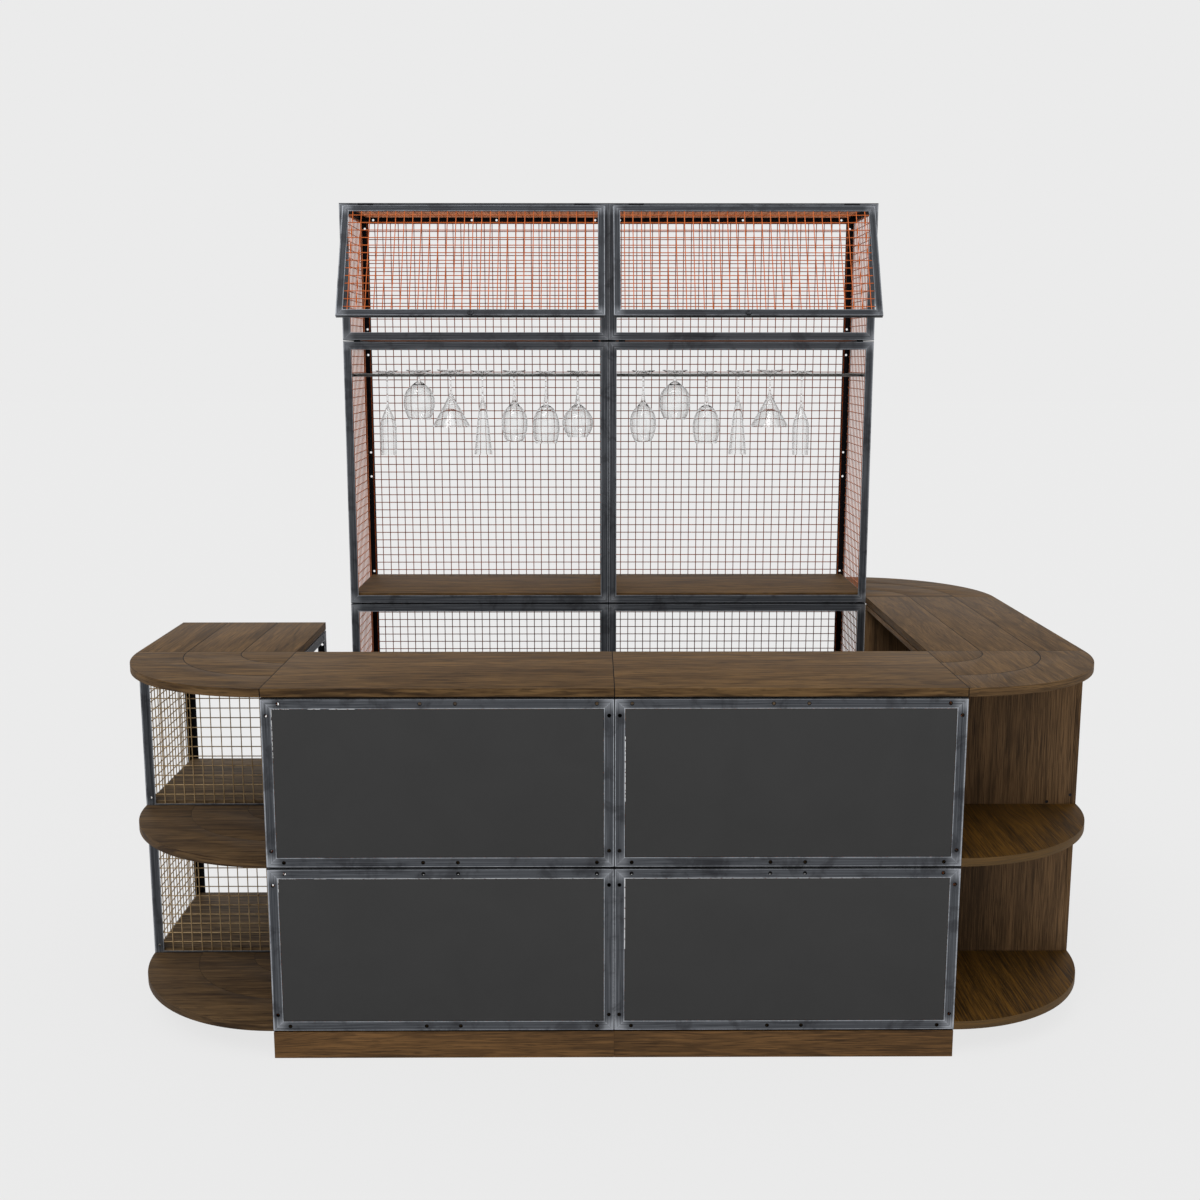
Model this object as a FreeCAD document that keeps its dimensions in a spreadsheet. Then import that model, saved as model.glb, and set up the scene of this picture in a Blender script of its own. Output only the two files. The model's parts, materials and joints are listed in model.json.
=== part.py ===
import FreeCAD, Part
import functools
import math
import os
import re
from FreeCAD import Placement, Rotation, Vector

# Pop-up bar: stacked open steel frames with mesh walls, a U of timber counters round them,
# rounded corner shelves, two hinged mesh flaps and a glass rack. Millimetres, +X right,
# +Y to the back, +Z up, origin on the floor in the middle of the footprint.

SIZES = {
    # Module grid.
    "bay": 1000.0,
    "unit": 500.0,
    "crate_high": 500.0,
    "tall_high": 1000.0,
    "wing_long": 500.0,
    "cabinet_long": 1020.0,
    # Plinths and the buffers between stacked modules.
    "plinth_high": 82.0,
    "plinth_board": 18.0,
    "pad_high": 3.5,
    "base_pad_high": 6.5,
    "pad_radius": 12.0,
    # Steel angle of the frames and its rows of bolt holes.
    "leg": 30.0,
    "steel": 3.0,
    "hole_radius": 4.5,
    "hole_line": 15.0,
    "hole_end": 50.0,
    # Welded wire sheets, drawn with every third wire.
    "wire": 2.5,
    "wire_pitch": 31.7,
    "sheet_lap": 7.0,
    # Infill panels, floors and cabinet boards.
    "panel_gap": 4.0,
    "floor_thick": 35.0,
    "floor_inset": 10.0,
    "cabinet_board": 18.0,
    # Counter slabs and corner shelves, with the seams between their bands.
    "slab_thick": 26.0,
    "shelf_thick": 25.0,
    "seam_wide": 1.2,
    "seam_deep": 1.0,
    # Mesh flaps on the top modules.
    "flap_leg": 25.0,
    "flap_depth": 16.0,
    "flap_margin": 16.0,
    "flap_long": 459.0,
    "flap_drop": 7.0,
    "flap_gap": 1.0,
    "catch_radius": 10.5,
    "catch_thick": 4.0,
    "catch_hole_radius": 5.0,
    "catch_up": 11.0,
    # Weld-on hinges of the flaps.
    "hinge_long": 56.0,
    "hinge_from_side": 100.0,
    "hinge_drop": 5.0,
    "barrel_radius": 4.0,
    "pin_radius": 2.0,
    "pin_gap": 0.05,
    "knuckle_gap": 0.4,
    "notch_gap": 1.0,
    "leaf_thick": 2.0,
    "leaf_high": 16.0,
    # Glass rack.
    "rack_up": 872.0,
    "rack_back": 200.0,
    "rod_radius": 6.0,
    "rod_spread": 20.0,
    "bar_wide": 5.0,
    "bar_high": 12.0,
    # Bolts and nuts.
    "bolt_radius": 4.0,
    "bolt_reach": 15.0,
    "head_radius": 7.5,
    "head_high": 5.0,
    "thread_gap": 0.05,
    # Hanging glasses.
    "glass_first_left": 120.0,
    "glass_first_right": 138.0,
    "glass_pitch": 124.5,
    "glass_wall": 1.6,
    "foot_thick": 2.5,
    "seat_gap": 0.3,
    "flute_long": 330.0,
    "flute_bowl": 32.5,
    "flute_foot": 44.0,
    "flute_stem": 4.0,
    "trumpet_long": 328.0,
    "trumpet_bowl": 35.0,
    "trumpet_foot": 46.0,
    "trumpet_stem": 4.0,
    "goblet_long": 192.5,
    "goblet_bowl": 61.0,
    "goblet_foot": 50.0,
    "goblet_stem": 5.5,
    "martini_long": 221.5,
    "martini_bowl": 75.0,
    "martini_foot": 53.0,
    "martini_stem": 4.0,
    "brandy_long": 279.0,
    "brandy_bowl": 51.0,
    "brandy_foot": 46.0,
    "brandy_stem": 4.5,
    "wine_long": 282.0,
    "wine_bowl": 53.0,
    "wine_foot": 40.0,
    "wine_stem": 4.5,
    "balloon_long": 258.5,
    "balloon_bowl": 61.0,
    "balloon_foot": 42.0,
    "balloon_stem": 4.5,
}

# Opening angle of the flaps as they stand, the pitches from one drawn wire to the next, the
# seams of the tops as shares of the unit, the length in units past which a bar has a pair of
# holes at its middle too, and the rise of a glass's foot as a share of its radius.
FLAP_OPEN_DEGREES = 28.0
WIRES_PER_STEP = 3
SEAM_SHARES = (0.337, 0.685)
LONG_BAR_SHARE = 1.5
FOOT_RISE_SHARE = 0.36

doc = FreeCAD.newDocument("pop_up_bar")
sheet = doc.addObject("Spreadsheet::Sheet", "Sizes")
for row, (word, number) in enumerate(SIZES.items(), start=1):
    sheet.set(f"A{row}", word)
    sheet.set(f"B{row}", str(number))
    sheet.setAlias(f"B{row}", word)
doc.recompute()

nodes = []


def size(word):
    """A driving dimension, read back from the sheet."""
    return float(sheet.get(word))


def bind(piece, prop, formula):
    """Tie a property to a formula of the sheet's sizes."""
    piece.setExpression(prop, re.sub(r"[a-z]\w*", lambda word: "Sizes." + word.group(), formula))


def place(piece, corner):
    """Tie a piece's position to three formulas."""
    for axis, formula in zip("xyz", corner):
        bind(piece, "Placement.Base." + axis, formula)
    return piece


def plus(corner, step):
    """A corner moved by three formulas."""
    return tuple(f"({start} + {move})" for start, move in zip(corner, step))


def block(corner, lengths):
    """A box from its low corner and its three lengths."""
    piece = doc.addObject("Part::Box", "block")
    for prop, formula in zip(("Length", "Width", "Height"), lengths):
        bind(piece, prop, formula)
    return place(piece, corner)


TURNS = {
    "x": Rotation(Vector(0, 1, 0), 90),
    "y": Rotation(Vector(1, 0, 0), -90),
    "z": Rotation(),
}


def rod(start, radius, length, axis):
    """A round bar that runs from its start towards a positive axis."""
    piece = doc.addObject("Part::Cylinder", "rod")
    bind(piece, "Radius", radius)
    bind(piece, "Height", length)
    piece.Placement = Placement(Vector(), TURNS[axis])
    return place(piece, start)


def cut(base, tool):
    piece = doc.addObject("Part::Cut", "cut")
    piece.Base = base
    piece.Tool = tool
    return piece


def shaped(shape, corner):
    """A piece whose local shape is made here and whose place is tied to the sheet."""
    piece = doc.addObject("Part::Feature", "shaped")
    piece.Shape = shape
    return place(piece, corner)


def node(label, pieces):
    """One named sub-part, from one piece or from several separate ones."""
    if len(pieces) == 1:
        whole = pieces[0]
    else:
        whole = doc.addObject("Part::Compound", label)
        whole.Links = pieces
    whole.Label = label
    nodes.append(whole)


# Places of the modules: the depth is centred on the footprint, the heights count the buffers.
FRONT = "(-unit - cabinet_long / 2)"
WING = "(-cabinet_long / 2)"
BACK = "(cabinet_long / 2)"
LOWER = "(plinth_high + pad_high)"
UPPER = "(plinth_high + 2 * pad_high + crate_high)"
SLAB = "(plinth_high + 3 * pad_high + 2 * crate_high)"
BASE_LOWER = "(plinth_high + base_pad_high)"
BASE_UPPER = "(plinth_high + base_pad_high + pad_high + crate_high)"
TALL = "(plinth_high + base_pad_high + 2 * pad_high + 2 * crate_high)"
TOP = "(plinth_high + base_pad_high + 3 * pad_high + 2 * crate_high + tall_high)"
ROOF = f"({TOP} + crate_high)"
BAYS = (("left", "-bay"), ("right", "0"))

BAY_CRATE = ("bay", "unit", "crate_high")
WING_CRATE = ("unit", "wing_long", "crate_high")
TALL_CRATE = ("bay", "unit", "tall_high")

FRAMES = []
for side, x in BAYS:
    FRAMES.append((f"front_frame_lower_{side}", BAY_CRATE, (x, FRONT, LOWER)))
    FRAMES.append((f"front_frame_upper_{side}", BAY_CRATE, (x, FRONT, UPPER)))
    FRAMES.append((f"base_frame_lower_{side}", BAY_CRATE, (x, BACK, BASE_LOWER)))
    FRAMES.append((f"base_frame_upper_{side}", BAY_CRATE, (x, BACK, BASE_UPPER)))
    FRAMES.append((f"tall_frame_{side}", TALL_CRATE, (x, BACK, TALL)))
    FRAMES.append((f"top_frame_{side}", BAY_CRATE, (x, BACK, TOP)))
FRAMES.append(("wing_frame_lower", WING_CRATE, ("(-bay - unit)", WING, LOWER)))
FRAMES.append(("wing_frame_upper", WING_CRATE, ("(-bay - unit)", WING, UPPER)))


def hole_places(length):
    """Bolt holes along a bar: near both ends, and a pair at the middle of a long bar."""
    end = size("hole_end")
    places = [end, length - end]
    if length > LONG_BAR_SHARE * size("unit"):
        places += [length / 2 - end, length / 2 + end]
    return places


def edge_region(start, along, inward, reach, depth):
    """The space that a mitred bar may fill, between its two neighbours at each end."""
    first, second = inward
    near = start + along * depth
    far = start + along * (reach - depth)
    end = start + along * reach
    low = [near + first * depth, far + first * depth]
    high = [near + second * depth, far + second * depth]
    deep = [near + (first + second) * depth, far + (first + second) * depth]
    outlines = [
        (start, end, low[1], low[0]),
        (start, end, high[1], high[0]),
        (low[0], low[1], deep[1], deep[0]),
        (high[0], high[1], deep[1], deep[0]),
        (start, low[0], deep[0]),
        (start, high[0], deep[0]),
        (end, low[1], deep[1]),
        (end, high[1], deep[1]),
    ]
    faces = [Part.Face(Part.makePolygon(list(outline) + [outline[0]])) for outline in outlines]
    shell = Part.Shell(faces)
    shell.sewShape()
    region = Part.Solid(shell)
    if region.Volume < 0:
        region.reverse()
    return region


AXES = (Vector(1, 0, 0), Vector(0, 1, 0), Vector(0, 0, 1))


def frame_shape(lengths, front_holes=True, extra_holes=()):
    """Twelve mitred angle bars round a box, drilled along the middle of their legs."""
    leg = size("leg")
    steel = size("steel")
    line = size("hole_line")
    reach = Vector(*lengths)
    welded = Part.makeBox(*lengths)
    hollow = Part.makeBox(*[length - 2 * steel for length in lengths])
    hollow.translate(Vector(steel, steel, steel))
    tools = [hollow]
    for axis in range(3):
        window = [length - 2 * leg for length in lengths]
        window[axis] = lengths[axis]
        corner = Vector(leg, leg, leg)
        corner[axis] = 0
        opening = Part.makeBox(*window)
        opening.translate(corner)
        tools.append(opening)
        across = [other for other in range(3) if other != axis]
        spots = set()
        for other in across:
            along = [a for a in across if a != other][0]
            for place_along in hole_places(lengths[along]):
                for place_across in (line, lengths[other] - line):
                    spots.add((other, place_across, along, place_along))
        for other, place_across, along, place_along in sorted(spots):
            start = Vector()
            start[other] = place_across
            start[along] = place_along
            if axis == 1 and not front_holes:
                start[axis] = lengths[axis] / 2
            tools.append(Part.makeCylinder(size("hole_radius"), lengths[axis], start, AXES[axis]))
    for start, axis in extra_holes:
        tools.append(Part.makeCylinder(size("hole_radius"), lengths[axis], start, AXES[axis]))
    welded = welded.cut(tools)
    bars = []
    for axis in range(3):
        along = AXES[axis]
        first, second = [a for a in range(3) if a != axis]
        for at_first in (0, 1):
            for at_second in (0, 1):
                start = Vector()
                start[first] = reach[first] * at_first
                start[second] = reach[second] * at_second
                inward = (AXES[first] * (1 - 2 * at_first), AXES[second] * (1 - 2 * at_second))
                region = edge_region(start, along, inward, reach[axis], leg)
                bars += welded.common(region).Solids
    return Part.Compound(bars)


def lengths_of(words):
    return [size(word) for word in words]


rack_holes = []
for depth in (size("hole_line"), size("unit") - size("hole_line")):
    rack_holes.append((Vector(0, depth, size("rack_up")), 0))
front_crate = frame_shape(lengths_of(BAY_CRATE))
frame_shapes = {
    BAY_CRATE: frame_shape(lengths_of(BAY_CRATE), False),
    WING_CRATE: frame_shape(lengths_of(WING_CRATE)),
    TALL_CRATE: frame_shape(lengths_of(TALL_CRATE), False, rack_holes),
}
for label, words, corner in FRAMES:
    shape = front_crate if label.startswith("front") else frame_shapes[words]
    node(label, [shaped(shape.copy(), corner)])


def wire_cells(opening, lap):
    """Low and high edges of the gaps between wires, counted out from the middle."""
    pitch = WIRES_PER_STEP * size("wire_pitch")
    half = size("wire") / 2
    count = int(opening / 2 / pitch)
    middles = [lap + opening / 2 + step * pitch for step in range(-count, count + 1)]
    lows = [lap] + [middle + half for middle in middles]
    highs = [middle - half for middle in middles] + [lap + opening]
    return [(low, high) for low, high in zip(lows, highs) if high - low > size("wire")]


def rectangle(low, high):
    points = [low, Vector(high.x, low.y, 0), high, Vector(low.x, high.y, 0), low]
    return Part.makePolygon(points)


TILTS = {
    "front": Rotation(Vector(1, 0, 0), 90),
    "side": Rotation(Vector(1, 1, 1), 120),
    "roof": Rotation(),
}


@functools.cache
def sheet_shape(width, height, facing):
    """One flat wire sheet for an opening, its rim lapping behind the frame."""
    lap = size("sheet_lap")
    corner = Vector(width + 2 * lap, height + 2 * lap, 0)
    wires = [rectangle(Vector(), corner)]
    for left, right in wire_cells(width, lap):
        for low, high in wire_cells(height, lap):
            wires.append(rectangle(Vector(left, low, 0), Vector(right, high, 0)))
    face = Part.makeFace(Part.Compound(wires), "Part::FaceMakerBullseye")
    solid = face.extrude(Vector(0, 0, size("wire")))
    solid.Placement = Placement(Vector(), TILTS[facing])
    return Part.Compound(solid.Solids)


def wall_sheet(words, corner, wall):
    """The wire sheet behind the legs of one wall of a module."""
    length, depth, height = lengths_of(words)
    leg = size("leg")
    inset = "(leg - sheet_lap)"
    if wall in ("front", "back"):
        shape = sheet_shape(length - 2 * leg, height - 2 * leg, "front")
        deep = "(steel + wire)" if wall == "front" else f"({words[1]} - steel)"
        return shaped(shape.copy(), plus(corner, (inset, deep, inset)))
    if wall in ("left", "right"):
        shape = sheet_shape(depth - 2 * leg, height - 2 * leg, "side")
        across = "steel" if wall == "left" else f"({words[0]} - steel - wire)"
        return shaped(shape.copy(), plus(corner, (across, inset, inset)))
    shape = sheet_shape(length - 2 * leg, depth - 2 * leg, "roof")
    up = f"({words[2]} - steel - wire)" if wall == "roof" else "steel"
    return shaped(shape.copy(), plus(corner, (inset, inset, up)))


front_sheets = []
wing_sheets = []
rear_sheets = []
side_sheets = []
top_sheets = []
for label, words, corner in FRAMES:
    outer = "left" if label.endswith("left") else "right"
    if label.startswith("front"):
        front_sheets.append(wall_sheet(words, corner, "front"))
        front_sheets.append(wall_sheet(words, corner, outer))
    elif label.startswith("wing"):
        wing_sheets.append(wall_sheet(words, corner, "front"))
        wing_sheets.append(wall_sheet(words, corner, "left"))
    else:
        rear_sheets.append(wall_sheet(words, corner, "back"))
        side_sheets.append(wall_sheet(words, corner, outer))
    if label.startswith("top"):
        top_sheets.append(wall_sheet(words, corner, "roof"))
        top_sheets.append(wall_sheet(words, corner, "floor"))
node("front_mesh", front_sheets)
node("wing_mesh", wing_sheets)
node("rear_mesh", rear_sheets)
node("side_mesh", side_sheets)
node("top_mesh", top_sheets)

# Flat infill panels in the openings of the front frames, against the wire sheets.
for label, words, corner in FRAMES:
    if label.startswith("front"):
        border = "(leg + panel_gap)"
        start = plus(corner, (border, "0", border))
        lengths = (f"bay - 2 * {border}", "steel", f"crate_high - 2 * {border}")
        node(label.replace("frame", "panel"), [block(start, lengths)])


def floor_board(words, corner):
    """A thick board that lies on the bottom legs of a module."""
    start = plus(corner, ("floor_inset", "floor_inset", "steel"))
    return block(start, (f"{words[0]} - 2 * floor_inset", f"{words[1]} - 2 * floor_inset", "floor_thick"))


crate_floors = []
tall_shelves = []
for label, words, corner in FRAMES:
    if label.startswith("tall"):
        tall_shelves.append(floor_board(words, corner))
    elif not label.startswith("top"):
        crate_floors.append(floor_board(words, corner))
node("crate_floors", crate_floors)
node("tall_shelves", tall_shelves)


def plinth_box(x, y, length, width):
    """A low box of boards, its deck let in between them."""
    board = "plinth_board"
    inner = f"({length} - 2 * {board})"
    return [
        block((x, y, "0"), (length, board, "plinth_high")),
        block((x, f"({y} + {width} - {board})", "0"), (length, board, "plinth_high")),
        block((x, f"({y} + {board})", "0"), (board, f"{width} - 2 * {board}", "plinth_high")),
        block(
            (f"({x} + {length} - {board})", f"({y} + {board})", "0"),
            (board, f"{width} - 2 * {board}", "plinth_high"),
        ),
        block(
            (f"({x} + {board})", f"({y} + {board})", f"(plinth_high - {board})"),
            (inner, f"{width} - 2 * {board}", board),
        ),
    ]


node("plinth_front", plinth_box("-bay", FRONT, "bay", "unit") + plinth_box("0", FRONT, "bay", "unit"))
node("plinth_back", plinth_box("-bay", BACK, "bay", "unit") + plinth_box("0", BACK, "bay", "unit"))
node("plinth_left_wing", plinth_box("(-bay - unit)", WING, "unit", "wing_long"))
node("plinth_right_wing", plinth_box("bay", WING, "unit", "cabinet_long"))


def cabinet(z):
    """A timber cabinet, open towards the inside of the bar."""
    board = "cabinet_board"
    inside = f"(cabinet_long - 2 * {board})"
    wide = f"(unit - {board})"
    return [
        block((f"(bay + unit - {board})", WING, z), (board, "cabinet_long", "crate_high")),
        block(("bay", WING, z), (wide, board, "crate_high")),
        block(("bay", f"({BACK} - {board})", z), (wide, board, "crate_high")),
        block(("bay", f"({WING} + {board})", z), (wide, inside, board)),
        block(("bay", f"({WING} + {board})", f"({z} + crate_high - {board})"), (wide, inside, board)),
    ]


node("cabinet_lower", cabinet(LOWER))
node("cabinet_upper", cabinet(UPPER))

QUARTERS = {
    "left": ("-bay", WING, 180),
    "right_front": ("bay", WING, 270),
    "right_back": ("bay", BACK, 0),
}


def quarter(corner, z, radius, height):
    """A quarter disc about the inner corner between two runs of the bar."""
    x, y, turn = QUARTERS[corner]
    piece = doc.addObject("Part::Cylinder", "quarter")
    bind(piece, "Radius", radius)
    bind(piece, "Height", height)
    piece.Angle = 90
    piece.Placement = Placement(Vector(), Rotation(Vector(0, 0, 1), turn))
    return place(piece, (x, y, z))


# Bolts that hold the corner shelves, by corner and level: the way each one points, where the
# underside of its head lies, and where its pilot hole in the shelf's straight edge starts.
LEVELS = {"lower": (LOWER, BASE_LOWER), "upper": (UPPER, BASE_UPPER)}


def shelf_bolts(corner, level):
    z, base_z = LEVELS[level]
    spots = []
    for step in ("hole_end", "(unit - hole_end)"):
        if corner == "left":
            deep = f"({FRONT} + {step})"
            up = f"({z} + hole_line)"
            across = f"(-bay - {step})"
            spots.append(("-x", ("(-bay + steel)", deep, up), ("(-bay - bolt_reach)", deep, up)))
            spots.append(("-y", (across, f"({WING} + steel)", up), (across, f"({WING} - bolt_reach)", up)))
        elif corner == "right_front":
            deep = f"({FRONT} + {step})"
            up = f"({z} + hole_line)"
            spots.append(("+x", ("(bay - steel)", deep, up), ("bay", deep, up)))
        else:
            deep = f"({BACK} + {step})"
            up = f"({base_z} + hole_line)"
            spots.append(("+x", ("(bay - steel)", deep, up), ("bay", deep, up)))
    return spots


def rounded_board(corner, z, thick):
    """A quarter-round board with its curved seams cut into the top."""
    board = quarter(corner, z, "unit", thick)
    floor_of_seam = f"({z} + {thick} - seam_deep)"
    for share in SEAM_SHARES:
        outer = quarter(corner, floor_of_seam, f"{share} * unit + seam_wide / 2", "seam_deep")
        inner = quarter(corner, floor_of_seam, f"{share} * unit - seam_wide / 2", "seam_deep")
        board = cut(board, cut(outer, inner))
    return board


def corner_shelf(corner, level):
    """A rounded shelf with pilot holes in the edges that meet the frames."""
    shelf = rounded_board(corner, LEVELS[level][0], "shelf_thick")
    for pointing, head, pilot in shelf_bolts(corner, level):
        shelf = cut(shelf, rod(pilot, "bolt_radius + thread_gap", "bolt_reach", pointing[-1]))
    return shelf


def wing_board(x, direction, length):
    """A straight wing top whose seams carry on from the rounded corner."""
    low = x if direction > 0 else f"({x} - unit)"
    board = block((low, WING, SLAB), ("unit", length, "slab_thick"))
    for share in SEAM_SHARES:
        line = f"({x} + {direction * share} * unit - seam_wide / 2)"
        low = (line, WING, f"({SLAB} + slab_thick - seam_deep)")
        board = cut(board, block(low, ("seam_wide", length, "seam_deep")))
    return board


for side, x in BAYS:
    node(f"counter_{side}", [block((x, FRONT, SLAB), ("bay", "unit", "slab_thick"))])
for corner in QUARTERS:
    node(f"corner_top_{corner}", [rounded_board(corner, SLAB, "slab_thick")])
    node(f"corner_shelves_{corner}", [corner_shelf(corner, level) for level in LEVELS])
node("wing_top_left", [wing_board("-bay", -1, "wing_long")])
node("wing_top_right", [wing_board("bay", 1, "cabinet_long")])


def pads(x, y, z, length, width, high):
    """Four round buffers near the corners of a module."""
    spots = []
    for across in ("hole_end", f"({length} - hole_end)"):
        for deep in ("hole_line", f"({width} - hole_line)"):
            spots.append(rod((f"({x} + {across})", f"({y} + {deep})", z), "pad_radius", high, "z"))
    return spots


buffers = []
for side, x in BAYS:
    for z in ("plinth_high", f"({LOWER} + crate_high)", f"({UPPER} + crate_high)"):
        buffers += pads(x, FRONT, z, "bay", "unit", "pad_high")
    buffers += pads(x, BACK, "plinth_high", "bay", "unit", "base_pad_high")
    for z in (f"({BASE_LOWER} + crate_high)", f"({BASE_UPPER} + crate_high)", f"({TALL} + tall_high)"):
        buffers += pads(x, BACK, z, "bay", "unit", "pad_high")
for z in ("plinth_high", f"({LOWER} + crate_high)", f"({UPPER} + crate_high)"):
    buffers += pads("(-bay - unit)", WING, z, "unit", "wing_long", "pad_high")
    buffers += pads("bay", WING, z, "unit", "cabinet_long", "pad_high")
node("stacking_buffers", buffers)


def hexagon(high):
    """A hexagonal prism across the corners of a bolt head."""
    corners = []
    for step in range(7):
        turn = math.radians(60 * step)
        corners.append(Vector(math.cos(turn), math.sin(turn), 0) * size("head_radius"))
    return Part.Face(Part.makePolygon(corners)).extrude(Vector(0, 0, high))


def bolt_shape(shank):
    """A bolt that points along +Z from the underside of its head."""
    head = hexagon(size("head_high"))
    head.translate(Vector(0, 0, -size("head_high")))
    return head.fuse(Part.makeCylinder(size("bolt_radius"), shank)).removeSplitter()


def nut_shape():
    bore = Part.makeCylinder(size("bolt_radius") + size("thread_gap"), size("head_high"))
    return hexagon(size("head_high")).cut(bore)


POINTINGS = {
    "+x": Rotation(Vector(0, 1, 0), 90),
    "-x": Rotation(Vector(0, 1, 0), -90),
    "-y": Rotation(Vector(1, 0, 0), 90),
}


def fastener(shape, pointing, corner):
    piece = doc.addObject("Part::Feature", "fastener")
    piece.Shape = shape
    piece.Placement = Placement(Vector(), POINTINGS[pointing])
    return place(piece, corner)


fasteners = []
joint_shank = 2 * size("steel") + size("head_high")

# Bolts through the paired side legs where two modules stand side by side.
JOINED = (
    (FRONT, LOWER, "crate_high"),
    (FRONT, UPPER, "crate_high"),
    (BACK, BASE_LOWER, "crate_high"),
    (BACK, BASE_UPPER, "crate_high"),
    (BACK, TALL, "tall_high"),
    (BACK, TOP, "crate_high"),
)
for y, z, high in JOINED:
    for deep in ("hole_line", "(unit - hole_line)"):
        for up in ("hole_end", f"({high} - hole_end)"):
            spot = (f"({y} + {deep})", f"({z} + {up})")
            fasteners.append(fastener(bolt_shape(joint_shank), "+x", ("-steel", *spot)))
            fasteners.append(fastener(nut_shape(), "+x", ("steel", *spot)))

# Bolts from inside the frames into the straight edges of the corner shelves.
shelf_shank = size("steel") + size("bolt_reach")
for corner in QUARTERS:
    for level in LEVELS:
        for pointing, head, pilot in shelf_bolts(corner, level):
            fasteners.append(fastener(bolt_shape(shelf_shank), pointing, head))

# The glass rack: in each bay two flat bars bolted to the posts, with two rods between them.
RACK = f"({TALL} + rack_up)"
rack_shank = size("steel") + size("wire") + size("bar_wide")
bars = []
rods = []
for side, x in BAYS:
    for wall in ("low", "high"):
        if wall == "low":
            bar_x = f"({x} + steel + wire)"
            head_x = f"({x} + steel + wire + bar_wide)"
        else:
            bar_x = f"({x} + bay - steel - wire - bar_wide)"
            head_x = bar_x
        start = (bar_x, f"({BACK} + steel)", f"({RACK} - bar_high / 2)")
        bar = block(start, ("bar_wide", "unit - 2 * steel", "bar_high"))
        for deep in ("hole_line", "(unit - hole_line)"):
            spot = (f"({BACK} + {deep})", RACK)
            bar = cut(bar, rod((bar_x, *spot), "bolt_radius + thread_gap", "bar_wide", "x"))
            pointing = "-x" if wall == "low" else "+x"
            fasteners.append(fastener(bolt_shape(rack_shank), pointing, (head_x, *spot)))
        bars.append(bar)
    for spread in ("-rod_spread", "rod_spread"):
        start = (f"({x} + steel + wire + bar_wide)", f"({BACK} + rack_back + {spread})", RACK)
        rods.append(rod(start, "rod_radius", "bay - 2 * (steel + wire + bar_wide)", "x"))
node("rack_side_bars", bars)
node("rack_rods", rods)


# Each flap swings on an axis in front of and just below the top edge of its module.
HINGE_Y = f"({BACK} - flap_gap - flap_depth + barrel_radius)"
HINGE_Z = f"({ROOF} - hinge_drop)"


def flap_rotation():
    return Rotation(Vector(-1, 0, 0), FLAP_OPEN_DEGREES)


def hinge_middles():
    offset = size("bay") / 2 - size("hinge_from_side")
    return (-offset, offset)


def flap_bottom():
    """Height of the closed flap's bottom edge, counted from the hinge axis."""
    return -size("flap_drop") - size("flap_long")


def flap_frame_shape():
    """Four mitred angle bars, closed and hanging below the hinge axis at the origin."""
    leg = size("flap_leg")
    depth = size("flap_depth")
    steel = size("steel")
    front = -size("barrel_radius")
    width = size("bay") - 2 * size("flap_margin")
    high = size("flap_long")
    top = -size("flap_drop")
    bottom = flap_bottom()
    outer = Part.makeBox(width, depth, high)
    hollow = Part.makeBox(width - 2 * steel, depth, high - 2 * steel)
    hollow.translate(Vector(steel, steel, steel))
    window = Part.makeBox(width - 2 * leg, depth, high - 2 * leg)
    window.translate(Vector(leg, 0, leg))
    catch = Vector(width / 2, 0, size("catch_up"))
    hole = Part.makeCylinder(size("catch_hole_radius"), depth, catch, AXES[1])
    ring = outer.cut([hollow, window, hole])
    ring.translate(Vector(-width / 2, front, bottom))
    notch_wide = size("hinge_long") + 2 * size("notch_gap")
    notches = []
    for middle in hinge_middles():
        notch = Part.makeBox(notch_wide, depth - steel, steel)
        notch.translate(Vector(middle - notch_wide / 2, front + steel, top - steel))
        notches.append(notch)
    ring = ring.cut(notches)
    bars = []
    middle_top = Vector(0, 0, top - high / 2)
    corners = [
        Vector(-width / 2, 0, bottom),
        Vector(width / 2, 0, bottom),
        Vector(width / 2, 0, top),
        Vector(-width / 2, 0, top),
    ]
    for index in range(4):
        start = corners[index]
        end = corners[(index + 1) % 4]
        run = (end - start).normalize()
        side = run.cross(Vector(0, 1, 0)) * -1
        if (middle_top - start).dot(side) < 0:
            side = side * -1
        outline = [start, end, end + (side - run) * leg, start + (side + run) * leg, start]
        region = Part.Face(Part.makePolygon(outline)).extrude(Vector(0, depth, 0))
        region.translate(Vector(0, front, 0))
        bars += ring.common(region).Solids
    return Part.Compound(bars)


def catch_shape():
    """The catch button at the middle of the flap's bottom bar, its shank through the leg."""
    front = -size("barrel_radius")
    up = flap_bottom() + size("catch_up")
    thick = size("catch_thick")
    shank_radius = size("catch_hole_radius") - size("thread_gap")
    head = Part.makeCylinder(size("catch_radius"), thick, Vector(0, front - thick, up), AXES[1])
    shank = Part.makeCylinder(shank_radius, size("steel"), Vector(0, front, up), AXES[1])
    return head.fuse(shank).removeSplitter()


def flap_sheet_shape():
    """The flap's wire sheet, lying behind the front legs of its frame."""
    leg = size("flap_leg")
    lap = size("sheet_lap")
    width = size("bay") - 2 * size("flap_margin") - 2 * leg
    high = size("flap_long") - 2 * leg
    wires = sheet_shape(width, high, "front").copy()
    deep = size("steel") + size("wire") - size("barrel_radius")
    wires.translate(Vector(-width / 2 - lap, deep, flap_bottom() + leg - lap))
    return Part.Compound([wires])


def knuckle(start, length):
    outer = Part.makeCylinder(size("barrel_radius"), length, Vector(start, 0, 0), AXES[0])
    bore = size("pin_radius") + size("pin_gap")
    return outer, Part.makeCylinder(bore, length, Vector(start, 0, 0), AXES[0])


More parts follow.
